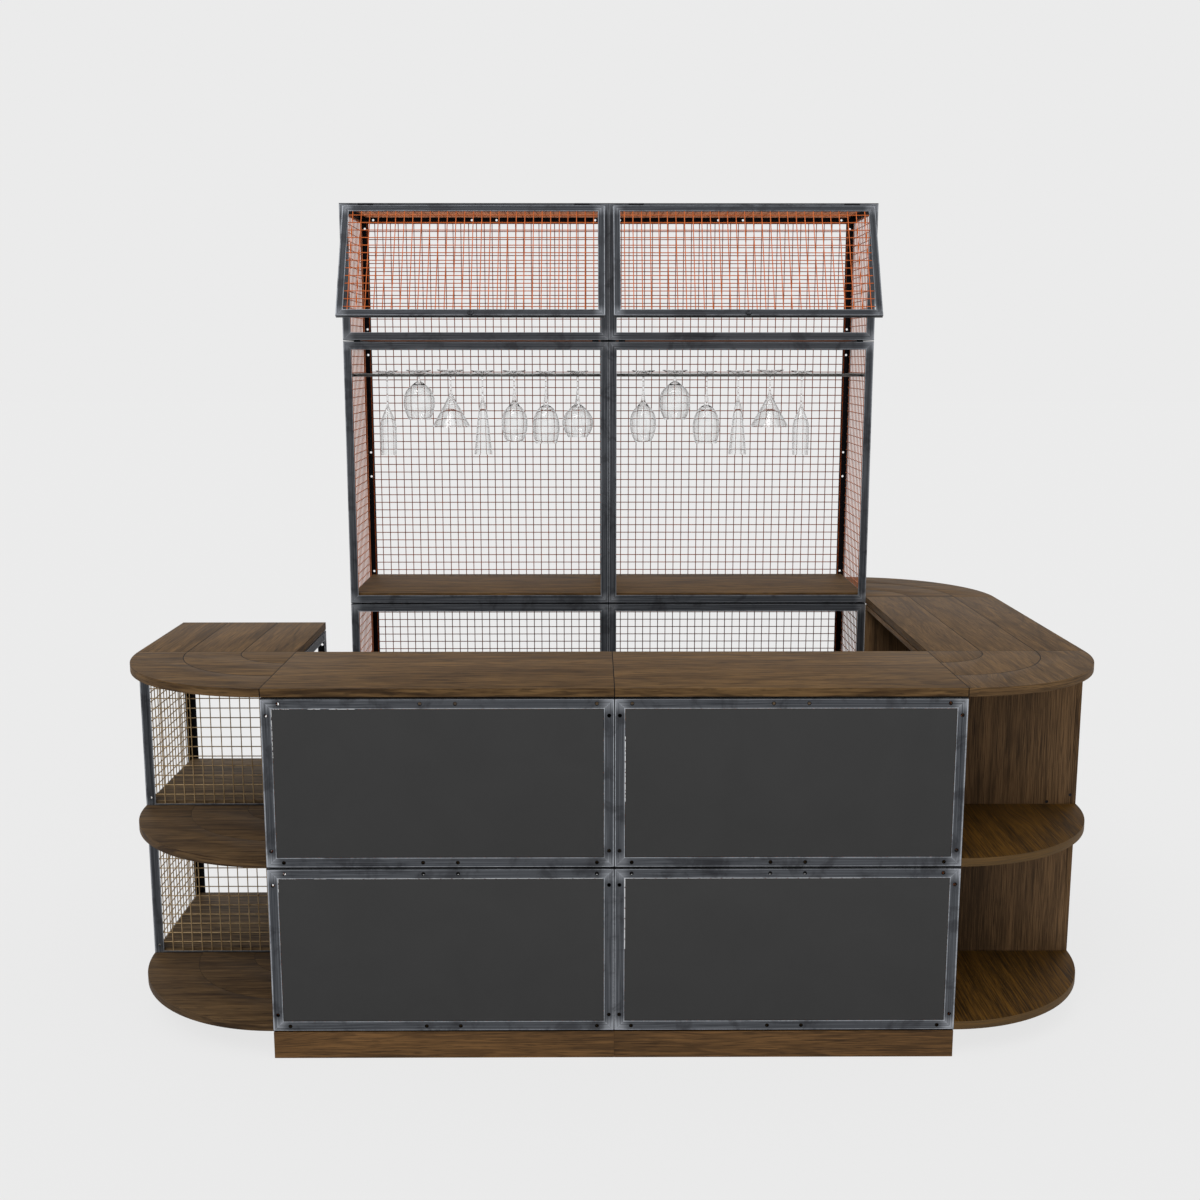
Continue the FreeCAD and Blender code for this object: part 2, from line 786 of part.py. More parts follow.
def moving_leaf_shape(middle):
    """The middle knuckle with a plate down the back of the flap's top bar."""
    third = size("hinge_long") / 3
    start = middle - third / 2 + size("knuckle_gap")
    wide = third - 2 * size("knuckle_gap")
    outer, bore = knuckle(start, wide)
    back = size("steel") - size("barrel_radius")
    neck = Part.makeBox(wide, size("leaf_thick"), size("leaf_high"))
    neck.translate(Vector(start, back, -size("leaf_high")))
    plate_high = size("leaf_high") - size("barrel_radius") - size("notch_gap")
    plate = Part.makeBox(size("hinge_long"), size("leaf_thick"), plate_high)
    plate.translate(Vector(middle - size("hinge_long") / 2, back, -size("leaf_high")))
    return outer.fuse([neck, plate]).cut(bore).removeSplitter()


def fixed_leaf_shape(middle):
    """Two outer knuckles with a plate back to the front rail of the module."""
    third = size("hinge_long") / 3
    reach = size("flap_gap") + size("flap_depth") - size("barrel_radius")
    leaf = size("leaf_thick")
    pieces = []
    bores = []
    for start in (middle - size("hinge_long") / 2, middle + third / 2):
        outer, bore = knuckle(start, third)
        arm = Part.makeBox(third, reach, leaf)
        arm.translate(Vector(start, 0, -leaf / 2))
        pieces += [outer, arm]
        bores.append(bore)
    plate = Part.makeBox(size("hinge_long"), leaf, size("leaf_high"))
    plate.translate(Vector(middle - size("hinge_long") / 2, reach - leaf, leaf / 2 - size("leaf_high")))
    return pieces[0].fuse(pieces[1:] + [plate]).cut(bores).removeSplitter()


def swung(shape, corner):
    """A piece of the flap, turned to the open angle about the hinge axis."""
    piece = doc.addObject("Part::Feature", "swung")
    piece.Shape = shape
    piece.Placement = Placement(Vector(), flap_rotation())
    return place(piece, corner)


fixed_leaves = []
pins = []
for side, x in BAYS:
    axis_middle = (f"({x} + bay / 2)", HINGE_Y, HINGE_Z)
    node(f"flap_frame_{side}", [swung(flap_frame_shape(), axis_middle)])
    node(f"flap_mesh_{side}", [swung(flap_sheet_shape(), axis_middle)])
    leaves = [swung(moving_leaf_shape(middle), axis_middle) for middle in hinge_middles()]
    node(f"flap_fittings_{side}", leaves + [swung(catch_shape(), axis_middle)])
    for middle in hinge_middles():
        fixed_leaves.append(shaped(fixed_leaf_shape(middle), axis_middle))
        pin = Part.makeCylinder(
            size("pin_radius"), size("hinge_long"), Vector(middle - size("hinge_long") / 2, 0, 0), AXES[0]
        )
        pins.append(shaped(pin, axis_middle))
node("hinge_fixed_leaves", fixed_leaves)
node("hinge_pins", pins)

# Outer lines of the bowls: shares of the bowl's radius against shares of its depth, from the
# stem to the rim. After them each bowl's depth as a share of the glass's length.
BOWL_SHARES = {
    "flute": (
        (0.13, 0.0), (0.25, 0.06), (0.46, 0.14), (0.67, 0.22), (0.82, 0.29),
        (0.95, 0.38), (1.0, 0.52), (1.0, 0.7), (0.97, 0.87), (0.93, 1.0),
    ),
    "trumpet": (
        (0.14, 0.0), (0.34, 0.08), (0.47, 0.2), (0.6, 0.36),
        (0.72, 0.54), (0.83, 0.72), (0.92, 0.87), (1.0, 1.0),
    ),
    "goblet": (
        (0.1, 0.0), (0.24, 0.04), (0.42, 0.1), (0.57, 0.15), (0.75, 0.22), (0.89, 0.315),
        (0.97, 0.43), (1.0, 0.54), (0.985, 0.65), (0.9, 0.8), (0.8, 0.91), (0.7, 1.0),
    ),
    "martini": ((0.07, 0.0), (0.3, 0.27), (0.53, 0.51), (0.77, 0.76), (1.0, 1.0)),
    "brandy": (
        (0.16, 0.0), (0.42, 0.13), (0.62, 0.19), (0.83, 0.29), (0.96, 0.4),
        (1.0, 0.53), (0.98, 0.67), (0.89, 0.8), (0.78, 0.9), (0.61, 1.0),
    ),
    "wine": (
        (0.18, 0.0), (0.4, 0.045), (0.62, 0.12), (0.82, 0.25), (0.93, 0.37),
        (0.99, 0.5), (1.0, 0.65), (0.92, 0.82), (0.8, 1.0),
    ),
    "balloon": (
        (0.18, 0.0), (0.39, 0.085), (0.57, 0.17), (0.78, 0.28), (0.94, 0.42),
        (1.0, 0.56), (0.95, 0.7), (0.83, 0.845), (0.62, 1.0),
    ),
}
DEPTH_SHARES = {
    "flute": 0.588,
    "trumpet": 0.645,
    "goblet": 0.78,
    "martini": 0.58,
    "brandy": 0.58,
    "wine": 0.53,
    "balloon": 0.5,
}
GLASSES_LEFT = ("balloon", "wine", "brandy", "trumpet", "martini", "goblet", "flute")
GLASSES_RIGHT = ("brandy", "goblet", "wine", "trumpet", "martini", "flute")


def spline(points):
    curve = Part.BSplineCurve()
    curve.interpolate([Vector(radius, 0, height) for radius, height in points])
    return curve.toShape()


def segment(first, second):
    return Part.makeLine(Vector(first[0], 0, first[1]), Vector(second[0], 0, second[1]))


def glass_shape(kind):
    """A stemmed glass hung by its foot: the tip of the foot's cone at the origin, the bowl below."""
    long = size(f"{kind}_long")
    bowl = size(f"{kind}_bowl")
    foot = size(f"{kind}_foot")
    stem = size(f"{kind}_stem")
    wall = size("glass_wall")
    thick = size("foot_thick")
    depth = DEPTH_SHARES[kind] * long
    rim = FOOT_RISE_SHARE * foot
    top = rim + thick
    neck = top + depth - long
    outer = [(share * bowl, neck - along * depth) for share, along in BOWL_SHARES[kind]]
    inner_top = neck - 2 * wall
    inner = [(radius - wall, height) for radius, height in outer[1:]]
    outer_line = spline(outer)
    inner_line = spline([(0, inner_top)] + inner)
    stem_top = (stem, FOOT_RISE_SHARE * stem)
    profile = [
        segment((0, top), (foot, top)),
        segment((foot, top), (foot, rim)),
        segment((foot, rim), stem_top),
        segment(stem_top, outer[0]),
        outer_line,
        segment(outer[-1], inner[-1]),
        inner_line,
        segment((0, inner_top), (0, top)),
    ]
    wire = Part.Wire(Part.sortEdges(profile)[0])
    return Part.Face(wire).revolve(Vector(), AXES[2], 360)


# The feet rest on the rods with their sloping undersides, clear by the seat gap.
slant = math.hypot(1, FOOT_RISE_SHARE)
SEAT = f"({RACK} + {slant} * (rod_radius + seat_gap) - {FOOT_RISE_SHARE} * rod_spread)"
glass_shapes = {kind: glass_shape(kind) for kind in BOWL_SHARES}
hung = {kind: [] for kind in BOWL_SHARES}
ROWS = ((-1, "glass_first_left", GLASSES_LEFT), (1, "glass_first_right", GLASSES_RIGHT))
for direction, first, row in ROWS:
    for step, kind in enumerate(row):
        across = f"({direction} * ({first} + {step} * glass_pitch))"
        spot = (across, f"({BACK} + rack_back)", SEAT)
        hung[kind].append(shaped(glass_shapes[kind].copy(), spot))
for kind, glasses in hung.items():
    node(f"{kind}_glasses", glasses)
node("joining_bolts", fasteners)

doc.recompute()

for piece in doc.Objects:
    if "Invalid" in piece.State or "Error" in piece.State:
        raise RuntimeError(f"{piece.Label} did not build")
for whole in nodes:
    if whole.Shape.isNull() or not whole.Shape.isValid():
        raise RuntimeError(f"{whole.Label} has no valid shape")

os.makedirs("parts", exist_ok=True)
for whole in nodes:
    whole.Shape.exportStep(f"parts/{whole.Label}.step")
    print(whole.Label, len(whole.Shape.Solids))
print(len(nodes), "nodes")
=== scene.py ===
import json
import math

import bmesh
import bpy
from mathutils import Matrix, Vector


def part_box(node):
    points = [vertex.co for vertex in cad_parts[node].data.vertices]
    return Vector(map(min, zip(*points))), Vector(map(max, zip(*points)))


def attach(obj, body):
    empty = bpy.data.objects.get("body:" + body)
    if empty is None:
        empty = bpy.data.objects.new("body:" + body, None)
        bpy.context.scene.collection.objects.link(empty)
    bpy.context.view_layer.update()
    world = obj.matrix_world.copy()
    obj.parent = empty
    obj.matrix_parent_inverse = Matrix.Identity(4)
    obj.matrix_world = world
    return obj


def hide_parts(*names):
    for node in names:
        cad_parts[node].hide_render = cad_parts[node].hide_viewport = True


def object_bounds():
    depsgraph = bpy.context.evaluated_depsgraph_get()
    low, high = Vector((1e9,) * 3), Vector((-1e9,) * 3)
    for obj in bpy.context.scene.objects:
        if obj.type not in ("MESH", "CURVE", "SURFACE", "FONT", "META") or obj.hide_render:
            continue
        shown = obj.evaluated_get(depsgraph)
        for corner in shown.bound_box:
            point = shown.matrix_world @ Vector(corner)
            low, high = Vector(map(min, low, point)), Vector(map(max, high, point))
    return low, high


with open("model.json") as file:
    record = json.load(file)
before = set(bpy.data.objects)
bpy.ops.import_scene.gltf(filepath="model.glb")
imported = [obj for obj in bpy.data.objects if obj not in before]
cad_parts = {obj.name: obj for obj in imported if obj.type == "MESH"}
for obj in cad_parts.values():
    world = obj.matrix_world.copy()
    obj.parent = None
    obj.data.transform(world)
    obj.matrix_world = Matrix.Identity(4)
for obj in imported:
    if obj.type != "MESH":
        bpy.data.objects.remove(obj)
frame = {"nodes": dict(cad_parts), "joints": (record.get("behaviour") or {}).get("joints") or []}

# The pop-up bar's looks: eased timber boards with real seams darkened by painted shade, wire sheets at
# their full pitch, worn steel angle with painted highlights and painted shade, clear glasses with
# painted grey edges. Metres, in the frame of the imported model.
cad_low, cad_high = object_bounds()

MILLIMETRE = 0.001
WIRE_PITCH = 31.7 * MILLIMETRE
WIRE_RADIUS = 1.7 * MILLIMETRE
WIRE_SIDES = 8
# How far the middles of the upright and level wires lie from the sheet's, as a share of the radius.
LAYER_SHARE = 0.75
BOARD_EASE = 1.4 * MILLIMETRE
PANEL_EASE = 0.5 * MILLIMETRE
# How much nearer to the bars the painted sheets reach than their plain CAD solids.
PANEL_REACH = 2.5 * MILLIMETRE
BOARD_THICK = 18 * MILLIMETRE
# Where the seams lie between the inner and the outer edge of a top, and how many eases wide the
# painted shade along them reaches to each side.
SEAM_SHARES = (0.337, 0.685)
SEAM_EASES = 1.2
# The shelves have smaller eases and fainter painted shade in their seams than the tops.
SHELF_EASE = 0.9 * MILLIMETRE
FAINT_SEAM = 0.5
ARC_STEPS = 36
SHARP_ANGLE = math.radians(32)
# Faces whose normals rise more steeply than this are level, so no seam or round edge lies on them.
LEVEL_FACE = 0.99
ANGLE_LEG = 30 * MILLIMETRE
FLAP_LEG = 25 * MILLIMETRE
STEEL_THICK = 3 * MILLIMETRE
# What stands behind the steel keeps this far from its outer face.
STEEL_CLEAR = 1.1 * STEEL_THICK
# Bolt holes of the frames: from the outer edge, and from the end of a bar.
HOLE_LINE = 15 * MILLIMETRE
HOLE_END = 50 * MILLIMETRE
# Points nearer than this are merged.
WELD = 0.001 * MILLIMETRE
SIDES = ("left", "right")
LEVELS = ("lower", "upper")


def srgb(red, green, blue):
    """A colour as it is seen, given in steps of 255."""
    shares = [value / 255 for value in (red, green, blue)]
    return tuple(v / 12.92 if v <= 0.04045 else ((v + 0.055) / 1.055) ** 2.4 for v in shares) + (1.0,)


class Tree:
    """Short calls for adding nodes to a tree."""

    def __init__(self, tree):
        self.tree = tree

    def link(self, value, socket):
        self.tree.links.new(value, socket)

    def add(self, kind, inputs=(), **settings):
        node = self.tree.nodes.new(kind)
        for name, value in settings.items():
            setattr(node, name, value)
        for socket, value in dict(inputs).items():
            if isinstance(value, bpy.types.NodeSocket):
                self.link(value, node.inputs[socket])
            else:
                node.inputs[socket].default_value = value
        return node

    def math(self, operation, first, second=0.0, clamp=False):
        inputs = {0: first, 1: second}
        return self.add("ShaderNodeMath", inputs, operation=operation, use_clamp=clamp).outputs[0]

    def plus(self, first, second, clamp=False):
        return self.math("ADD", first, second, clamp)

    def minus(self, first, second):
        return self.math("SUBTRACT", first, second)

    def times(self, first, second, clamp=False):
        return self.math("MULTIPLY", first, second, clamp)

    def vector(self, operation, first, second):
        return self.add("ShaderNodeVectorMath", {0: first, 1: second}, operation=operation).outputs[0]

    def combine(self, values):
        """A vector from its values by axis."""
        return self.add("ShaderNodeCombineXYZ", values).outputs[0]

    def split(self, vector):
        return self.add("ShaderNodeSeparateXYZ", {0: vector}).outputs

    def rise(self, value, start, end):
        """0 at start, rising straight to 1 at end."""
        inputs = {"Value": value, "From Min": start, "From Max": end}
        return self.add("ShaderNodeMapRange", inputs).outputs[0]

    def fade(self, value, start, end):
        """1 at start, falling smoothly to 0 at end."""
        inputs = {"Value": value, "From Min": start, "From Max": end, "To Min": 1.0, "To Max": 0.0}
        return self.add("ShaderNodeMapRange", inputs, interpolation_type="SMOOTHSTEP").outputs[0]

    def noise(self, vector, scale, detail=3.0, roughness=0.55, distortion=0.0):
        inputs = {"Vector": vector, "Scale": scale, "Detail": detail, "Roughness": roughness}
        return self.add("ShaderNodeTexNoise", {**inputs, "Distortion": distortion}).outputs[0]

    def mix(self, share, first, second):
        inputs = {0: share, 6: first, 7: second}
        return self.add("ShaderNodeMix", inputs, data_type="RGBA").outputs[2]

    def marked(self, colour, marks):
        """A colour with marks on it: the mask of each, how strong it is and its tone."""
        for mask, strength, tone in marks:
            colour = self.mix(self.times(mask, strength), colour, srgb(*tone))
        return colour

    def bump(self, height, strength, distance):
        inputs = {"Height": height, "Strength": strength, "Distance": distance}
        return self.add("ShaderNodeBump", inputs).outputs[0]

    def group(self, group, inputs):
        return self.add("ShaderNodeGroup", inputs, node_tree=group).outputs

    def attribute(self, name):
        return self.add("ShaderNodeAttribute", attribute_name=name).outputs["Fac"]

    def object_place(self):
        return self.add("ShaderNodeTexCoord").outputs["Object"]


def shader_group(name, inputs, outputs):
    """An empty shader group with its named sockets, as a tree, its input node and its output node."""
    group = bpy.data.node_groups.new(name, "ShaderNodeTree")
    for socket, kind in inputs.items():
        group.interface.new_socket(socket, in_out="INPUT", socket_type="NodeSocket" + kind)
    for socket, kind in outputs.items():
        group.interface.new_socket(socket, in_out="OUTPUT", socket_type="NodeSocket" + kind)
    tree = Tree(group)
    return tree, tree.add("NodeGroupInput").outputs, tree.add("NodeGroupOutput").inputs


# How far apart the grain of two boards is read, along and across.
BOARD_SHIFTS = (13.7, 7.3, 3.9)
# Knots: cells per metre along and across the grain, and the share of the cells without one.
KNOT_CELLS = (1.7, 6.4, 6.4)
KNOTLESS_SHARE = 0.78
# Noises per metre along and across the grain, then their detail, roughness and distortion.
OAK_PATTERNS = {
    "slope": ((0.6, 5.2, 5.2), 1.5, 0.4),
    "broad": ((1.3, 9.0, 9.0), 4.0, 0.6, 0.6),
    "bands": ((2.2, 40, 40), 2.0, 0.5),
    "streaks": ((6.0, 190, 190), 3.0, 0.7),
    "pores": ((15, 210, 210), 2.0, 0.5),
    "cracks": ((3.4, 75, 75), 3.0, 0.6, 0.3),
}
RINGS = 42.0


def oak_group():
    """Smoked oak: rings, streaks, pores and knots, the grain along the first coordinate, in metres."""
    tree, given, result = shader_group(
        "smoked_oak",
        {"Vector": "Vector", "Board": "Float", "Fineness": "Float", "Light": "Color", "Dark": "Color"},
        {"Color": "Color", "Roughness": "Float", "Height": "Float"},
    )

    def pattern(name, place):
        fineness, *settings = OAK_PATTERNS[name]
        return tree.noise(tree.vector("MULTIPLY", place, fineness), 1.0, *settings)

    shifts = {axis: tree.times(given["Board"], shift) for axis, shift in enumerate(BOARD_SHIFTS)}
    place = tree.vector("ADD", given["Vector"], tree.combine(shifts))
    cell_place = tree.vector("MULTIPLY", place, KNOT_CELLS)
    cells = tree.add("ShaderNodeTexVoronoi", {"Vector": cell_place, "Scale": 1.0}).outputs
    lot = tree.add("ShaderNodeSeparateColor", {0: cells["Color"]}).outputs[0]
    chosen = tree.math("GREATER_THAN", lot, KNOTLESS_SHARE)
    knot = tree.times(chosen, tree.fade(cells["Distance"], 0.015, 0.085))
    round_knot = tree.times(chosen, tree.fade(cells["Distance"], 0.0, 0.42))
    place = tree.vector("ADD", place, tree.combine({1: tree.times(round_knot, 0.035)}))
    ring = tree.math("ABSOLUTE", tree.math("SINE", tree.times(pattern("slope", place), RINGS)))
    finer = tree.combine({0: 1.0, 1: given["Fineness"], 2: given["Fineness"]})
    fine_place = tree.vector("MULTIPLY", place, finer)
    streaks = pattern("streaks", fine_place)
    body = tree.plus(tree.times(pattern("broad", place), 0.5), tree.times(streaks, 1.15))
    body = tree.plus(body, tree.times(pattern("bands", place), 0.35))
    colour = tree.mix(tree.rise(body, 0.83, 1.17), given["Dark"], given["Light"])
    ring_dark = tree.times(tree.fade(ring, 0.0, 0.5), tree.fade(streaks, 0.7, 0.3))
    pore_dark = tree.fade(pattern("pores", fine_place), 0.33, 0.46)
    crack_dark = tree.rise(pattern("cracks", fine_place), 0.63, 0.72)
    marks = (
        (ring_dark, 0.5, (36, 26, 16)),
        (pore_dark, 0.5, (34, 25, 16)),
        (crack_dark, 0.6, (27, 20, 14)),
        (round_knot, 0.3, (48, 33, 22)),
        (knot, 0.9, (24, 18, 15)),
    )
    tree.link(tree.marked(colour, marks), result["Color"])
    rough = tree.plus(0.52, tree.times(streaks, 0.22))
    tree.link(rough, result["Roughness"])
    sunk = tree.plus(tree.times(pore_dark, 0.6), tree.times(crack_dark, 0.8))
    tree.link(tree.minus(tree.times(streaks, 0.5), sunk), result["Height"])
    return tree.tree


def angle_bar_group():
    """Masks for mitred angle bars round a box: worn edges with painted highlights, brush marks, painted shade
    on the inner faces, patches, painted shadow in the joints and round the bolt holes.
    """
    tree, given, result = shader_group(
        "angle_bars",
        {"Vector": "Vector", "Corner": "Vector", "Size": "Vector", "Leg": "Float", "Top": "Float",
         "Hole": "Float", "Pair": "Float"},
        {"WearAndHighlights": "Float", "Brush": "Float", "Inside": "Float", "Patches": "Float", "ShadowGaps": "Float"},
    )
    from_low = tree.vector("SUBTRACT", given["Vector"], given["Corner"])
    from_high = tree.vector("SUBTRACT", given["Size"], from_low)
    nearest = tree.vector("MAXIMUM", tree.vector("MINIMUM", from_low, from_high), (0, 0, 0))
    split = tree.split(nearest)
    depth = tree.math("MINIMUM", split[0], tree.math("MINIMUM", split[1], split[2]))
    along = tree.math("MAXIMUM", split[0], tree.math("MAXIMUM", split[1], split[2]))
    total = tree.plus(split[0], tree.plus(split[1], split[2]))
    across = tree.minus(total, tree.plus(depth, along))
    to_toe = tree.math("ABSOLUTE", tree.minus(given["Leg"], across))
    # The outer and toe edges are lighter: wear, and partly a painted highlight where light would catch them.
    outer_edge = tree.fade(across, 2.4 * MILLIMETRE, 4.8 * MILLIMETRE)
    toe_edge = tree.fade(to_toe, 0.6 * MILLIMETRE, 3.6 * MILLIMETRE)
    # A painted highlight line along the mitre, and a brushed painted sheen within some 50 mm of each corner.
    mitre = tree.fade(tree.minus(along, across), 0.3 * MILLIMETRE, 2.2 * MILLIMETRE)
    corner = tree.fade(along, 14 * MILLIMETRE, 48 * MILLIMETRE)
    run = tree.combine({0: tree.times(along, 3.0), 1: tree.times(across, 240.0), 2: tree.times(depth, 240.0)})
    run = tree.vector("ADD", run, tree.vector("MULTIPLY", given["Vector"], (1.7, 2.3, 1.9)))
    brush = tree.noise(run, 1.0, 5.0, 0.65)
    patches = tree.noise(given["Vector"], 11.0, 5.0, 0.66, 0.5)
    grains = tree.noise(given["Vector"], 170.0, 3.0, 0.7)
    edges = tree.math("MAXIMUM", outer_edge, toe_edge)
    edges = tree.times(edges, tree.plus(0.35, tree.times(patches, 0.9)))
    edges = tree.times(edges, tree.plus(0.3, tree.times(grains, 1.2)))
    bright = tree.times(tree.minus(brush, 0.3), 2.2, clamp=True)
    wear_and_sheen = tree.times(corner, bright)
    # Worn edges and painted highlights together: edges, corner sheen and the mitre line.
    wear_and_highlights = tree.plus(edges, tree.plus(wear_and_sheen, tree.times(mitre, 0.2)), clamp=True)
    tree.link(wear_and_highlights, result["WearAndHighlights"])
    tree.link(brush, result["Brush"])
    # Painted shade: faces lying more than a millimetre or two inside the outer faces of a leg are darkened.
    inside = tree.minus(1.0, tree.fade(depth, 0.8 * MILLIMETRE, 2.4 * MILLIMETRE))
    tree.link(inside, result["Inside"])
    tree.link(patches, result["Patches"])
    # Painted shadow: dark lines where a frame meets the part below or above it (the upper one reaching Top
    # further down), down the middle at x = 0 where two frames meet, and rims reaching Hole round the bolt
    # holes.
    upright = tree.fade(tree.math("MINIMUM", split[0], split[1]), 0.2 * MILLIMETRE, 0.8 * MILLIMETRE)
    under_top = tree.split(from_high)[2]
    near_end = tree.fade(split[2], 1.9 * MILLIMETRE, 2.6 * MILLIMETRE)
    top_end = tree.fade(tree.minus(under_top, given["Top"]), 0.0, 0.7 * MILLIMETRE)
    near_end = tree.math("MAXIMUM", near_end, top_end)
    from_middle = tree.math("ABSOLUTE", tree.split(given["Vector"])[0])
    between = tree.fade(from_middle, 1.0 * MILLIMETRE, 2.2 * MILLIMETRE)
    joint = tree.math("MAXIMUM", tree.times(upright, near_end), between)
    for centre in (HOLE_END, given["Pair"]):
        spot = tree.combine({0: tree.minus(across, HOLE_LINE), 1: tree.minus(along, centre)})
        distance = tree.add("ShaderNodeVectorMath", {0: spot}, operation="LENGTH").outputs["Value"]
        beyond = tree.minus(distance, given["Hole"])
        joint = tree.math("MAXIMUM", joint, tree.fade(beyond, 0.0, 0.8 * MILLIMETRE))
    tree.link(joint, result["ShadowGaps"])
    return tree.tree


def speckle_group():
    """Fine and broad unevenness, for paint, rubber and plated wire."""
    tree, given, result = shader_group(
        "speckle",
        {"Vector": "Vector", "Fine": "Float", "Broad": "Float"},
        {"Fine": "Float", "Broad": "Float"},
    )
    tree.link(tree.noise(given["Vector"], given["Fine"], 2.0), result["Fine"])
    tree.link(tree.noise(given["Vector"], given["Broad"], 4.0, 0.6, 0.6), result["Broad"])
    return tree.tree


OAK = oak_group()
ANGLE_BARS = angle_bar_group()
SPECKLE = speckle_group()


def new_material(name):
    """A material with only its Principled shader, as a tree and the shader's inputs."""
    material = bpy.data.materials.new(name)
    material.use_nodes = True
    tree = Tree(material.node_tree)
    shader = material.node_tree.nodes["Principled BSDF"]
    return material, tree, shader.inputs


def oak(name, light, dark, fineness, rim=(0, 0, 0), edge_highlight_share=0.0):
    """Oiled oak that reads the board's own grain map and number, its round edges lightened towards rim as a
    painted highlight and its seams darkened as painted shade.
    """
    material, tree, shader = new_material(name)
    grain = tree.add("ShaderNodeUVMap", uv_map="Grain").outputs[0]
    inputs = {"Vector": grain, "Board": tree.attribute("board"), "Fineness": fineness}
    wood = tree.group(OAK, {**inputs, "Light": srgb(*light), "Dark": srgb(*dark)})
    # Painted highlight on the round edges.
    colour = tree.mix(tree.times(tree.attribute("round_edge"), edge_highlight_share), wood["Color"], srgb(*rim))
    # Painted shade: faces at the seams, at the counter's lower edge and along edges against the frames turn
    # nearly black.
    tree.link(tree.mix(tree.attribute("seam_shade"), colour, srgb(14, 10, 8)), shader["Base Color"])
    tree.link(wood["Roughness"], shader["Roughness"])
    tree.link(tree.bump(wood["Height"], 0.35, 0.4 * MILLIMETRE), shader["Normal"])
    shader["Specular IOR Level"].default_value = 0.1
    return material


def angle_steel(name, low, high, leg, wear_and_sheen, shade, joint, top, hole, turn=0.0, pivot=(0, 0, 0)):
    """Raw steel angle, light at its worn edges, with painted highlights at edges, mitres and corners;
    painted shade darkens it as a whole, on its inner faces, in the gaps at its joints and round its bolt
    holes.

    The five values after leg are those of FRAME_FINISHES, in that order.
    """
    material, tree, shader = new_material(name)
    rotation = Matrix.Rotation(turn, 3, "X")
    offset = Vector(pivot) - rotation @ Vector(pivot)
    inputs = {"Vector": tree.object_place(), "Location": offset, "Rotation": (turn, 0, 0)}
    place = tree.add("ShaderNodeMapping", inputs).outputs[0]
    pair = 0.5 * (high.x - low.x) - HOLE_END
    inputs = {"Vector": place, "Corner": low, "Size": high - low, "Leg": leg, "Top": top}
    masks = tree.group(ANGLE_BARS, {**inputs, "Hole": hole, "Pair": pair})
    colour = tree.mix(tree.rise(masks["Brush"], 0.32, 0.72), srgb(50, 52, 56), srgb(104, 107, 112))
    # Painted shade: each frame group is darkened by its own amount, most on the tilted flaps.
    colour = tree.mix(1.0 - shade, colour, srgb(20, 21, 24))
    # Painted highlights and edge wear lighten the steel.
    wear_and_highlights = tree.times(masks["WearAndHighlights"], wear_and_sheen)
    colour = tree.mix(wear_and_highlights, colour, srgb(186, 190, 197))
    marks = (
        (tree.fade(masks["Patches"], 0.36, 0.5), 0.45, (40, 39, 41)),
        # painted shade on the inner faces of the legs
        (masks["Inside"], 0.9, (20, 20, 23)),
        # painted shadow in the gaps and round the bolt holes
        (masks["ShadowGaps"], joint, (3, 3, 4)),
    )
    tree.link(tree.marked(colour, marks), shader["Base Color"])
    rough = tree.minus(0.55, tree.times(wear_and_highlights, 0.2))
    # The metal gives way in the painted shadow, so that it stays dark.
    metal = tree.minus(0.8, tree.times(masks["ShadowGaps"], 0.8))
    tree.link(metal, shader["Metallic"])
    tree.link(rough, shader["Roughness"])
    tree.link(tree.bump(masks["Brush"], 0.12, 0.2 * MILLIMETRE), shader["Normal"])
    shader["Specular IOR Level"].default_value = 0.05
    return material


def speckled(name, colour, second, scales, roughness, metallic, relief):
    """An even finish between two tones, with its fine and broad scale and its relief in millimetres."""
    material, tree, shader = new_material(name)
    inputs = {"Vector": tree.object_place(), "Fine": scales[0], "Broad": scales[1]}
    masks = tree.group(SPECKLE, inputs)
    tone = tree.mix(tree.rise(masks["Broad"], 0.3, 0.7), srgb(*colour), srgb(*second))
    tree.link(tone, shader["Base Color"])
    rough = tree.plus(roughness - 0.06, tree.times(masks["Broad"], 0.12))
    tree.link(rough, shader["Roughness"])
    tree.link(tree.bump(masks["Fine"], 0.2, relief * MILLIMETRE), shader["Normal"])
    shader["Metallic"].default_value = metallic
    shader["Specular IOR Level"].default_value = 0.15
    return material


def clear_glass():
    """Clear drinking glass, a little smeared, with painted grey where it is seen edge on, in place of dark
    surroundings seen through it.
    """
    material, tree, shader = new_material("clear_glass")
    masks = tree.group(SPECKLE, {"Vector": tree.object_place(), "Fine": 60.0, "Broad": 14.0})
    smear = tree.times(tree.fade(masks["Broad"], 0.62, 0.42), 0.05)
    tree.link(smear, shader["Roughness"])
    # Painted shade: the base colour turns grey where the glass is seen edge on.
    facing = tree.add("ShaderNodeLayerWeight", {"Blend": 0.35}).outputs["Facing"]
    edge = tree.times(tree.math("POWER", facing, 1.6), 0.95, clamp=True)
    tree.link(tree.mix(edge, (0.98, 0.985, 0.985, 1), srgb(66, 68, 70)), shader["Base Color"])
    shader["IOR"].default_value = 1.47
    shader["Transmission Weight"].default_value = 1.0
    return material


# Light and dark tone, and how fine the grain is across: finest on upright boards seen full on.
TOP_OAK = oak("top_oak", (106, 81, 51), (59, 42, 24), 0.55)
WING_OAK = oak("wing_oak", (107, 82, 53), (59, 43, 26), 1.6)
LEFT_OAK = oak("left_shelf_oak", (98, 76, 50), (53, 38, 23), 0.8)
# The right shelves take a darker, yellower copy of the shelf oak: painted shade. Their round edges get a
# painted highlight.
SHADED_RIGHT_OAK = oak("shaded_right_shelf_oak", (92, 63, 21), (38, 24, 5), 1.3, (98, 78, 52), 0.5)
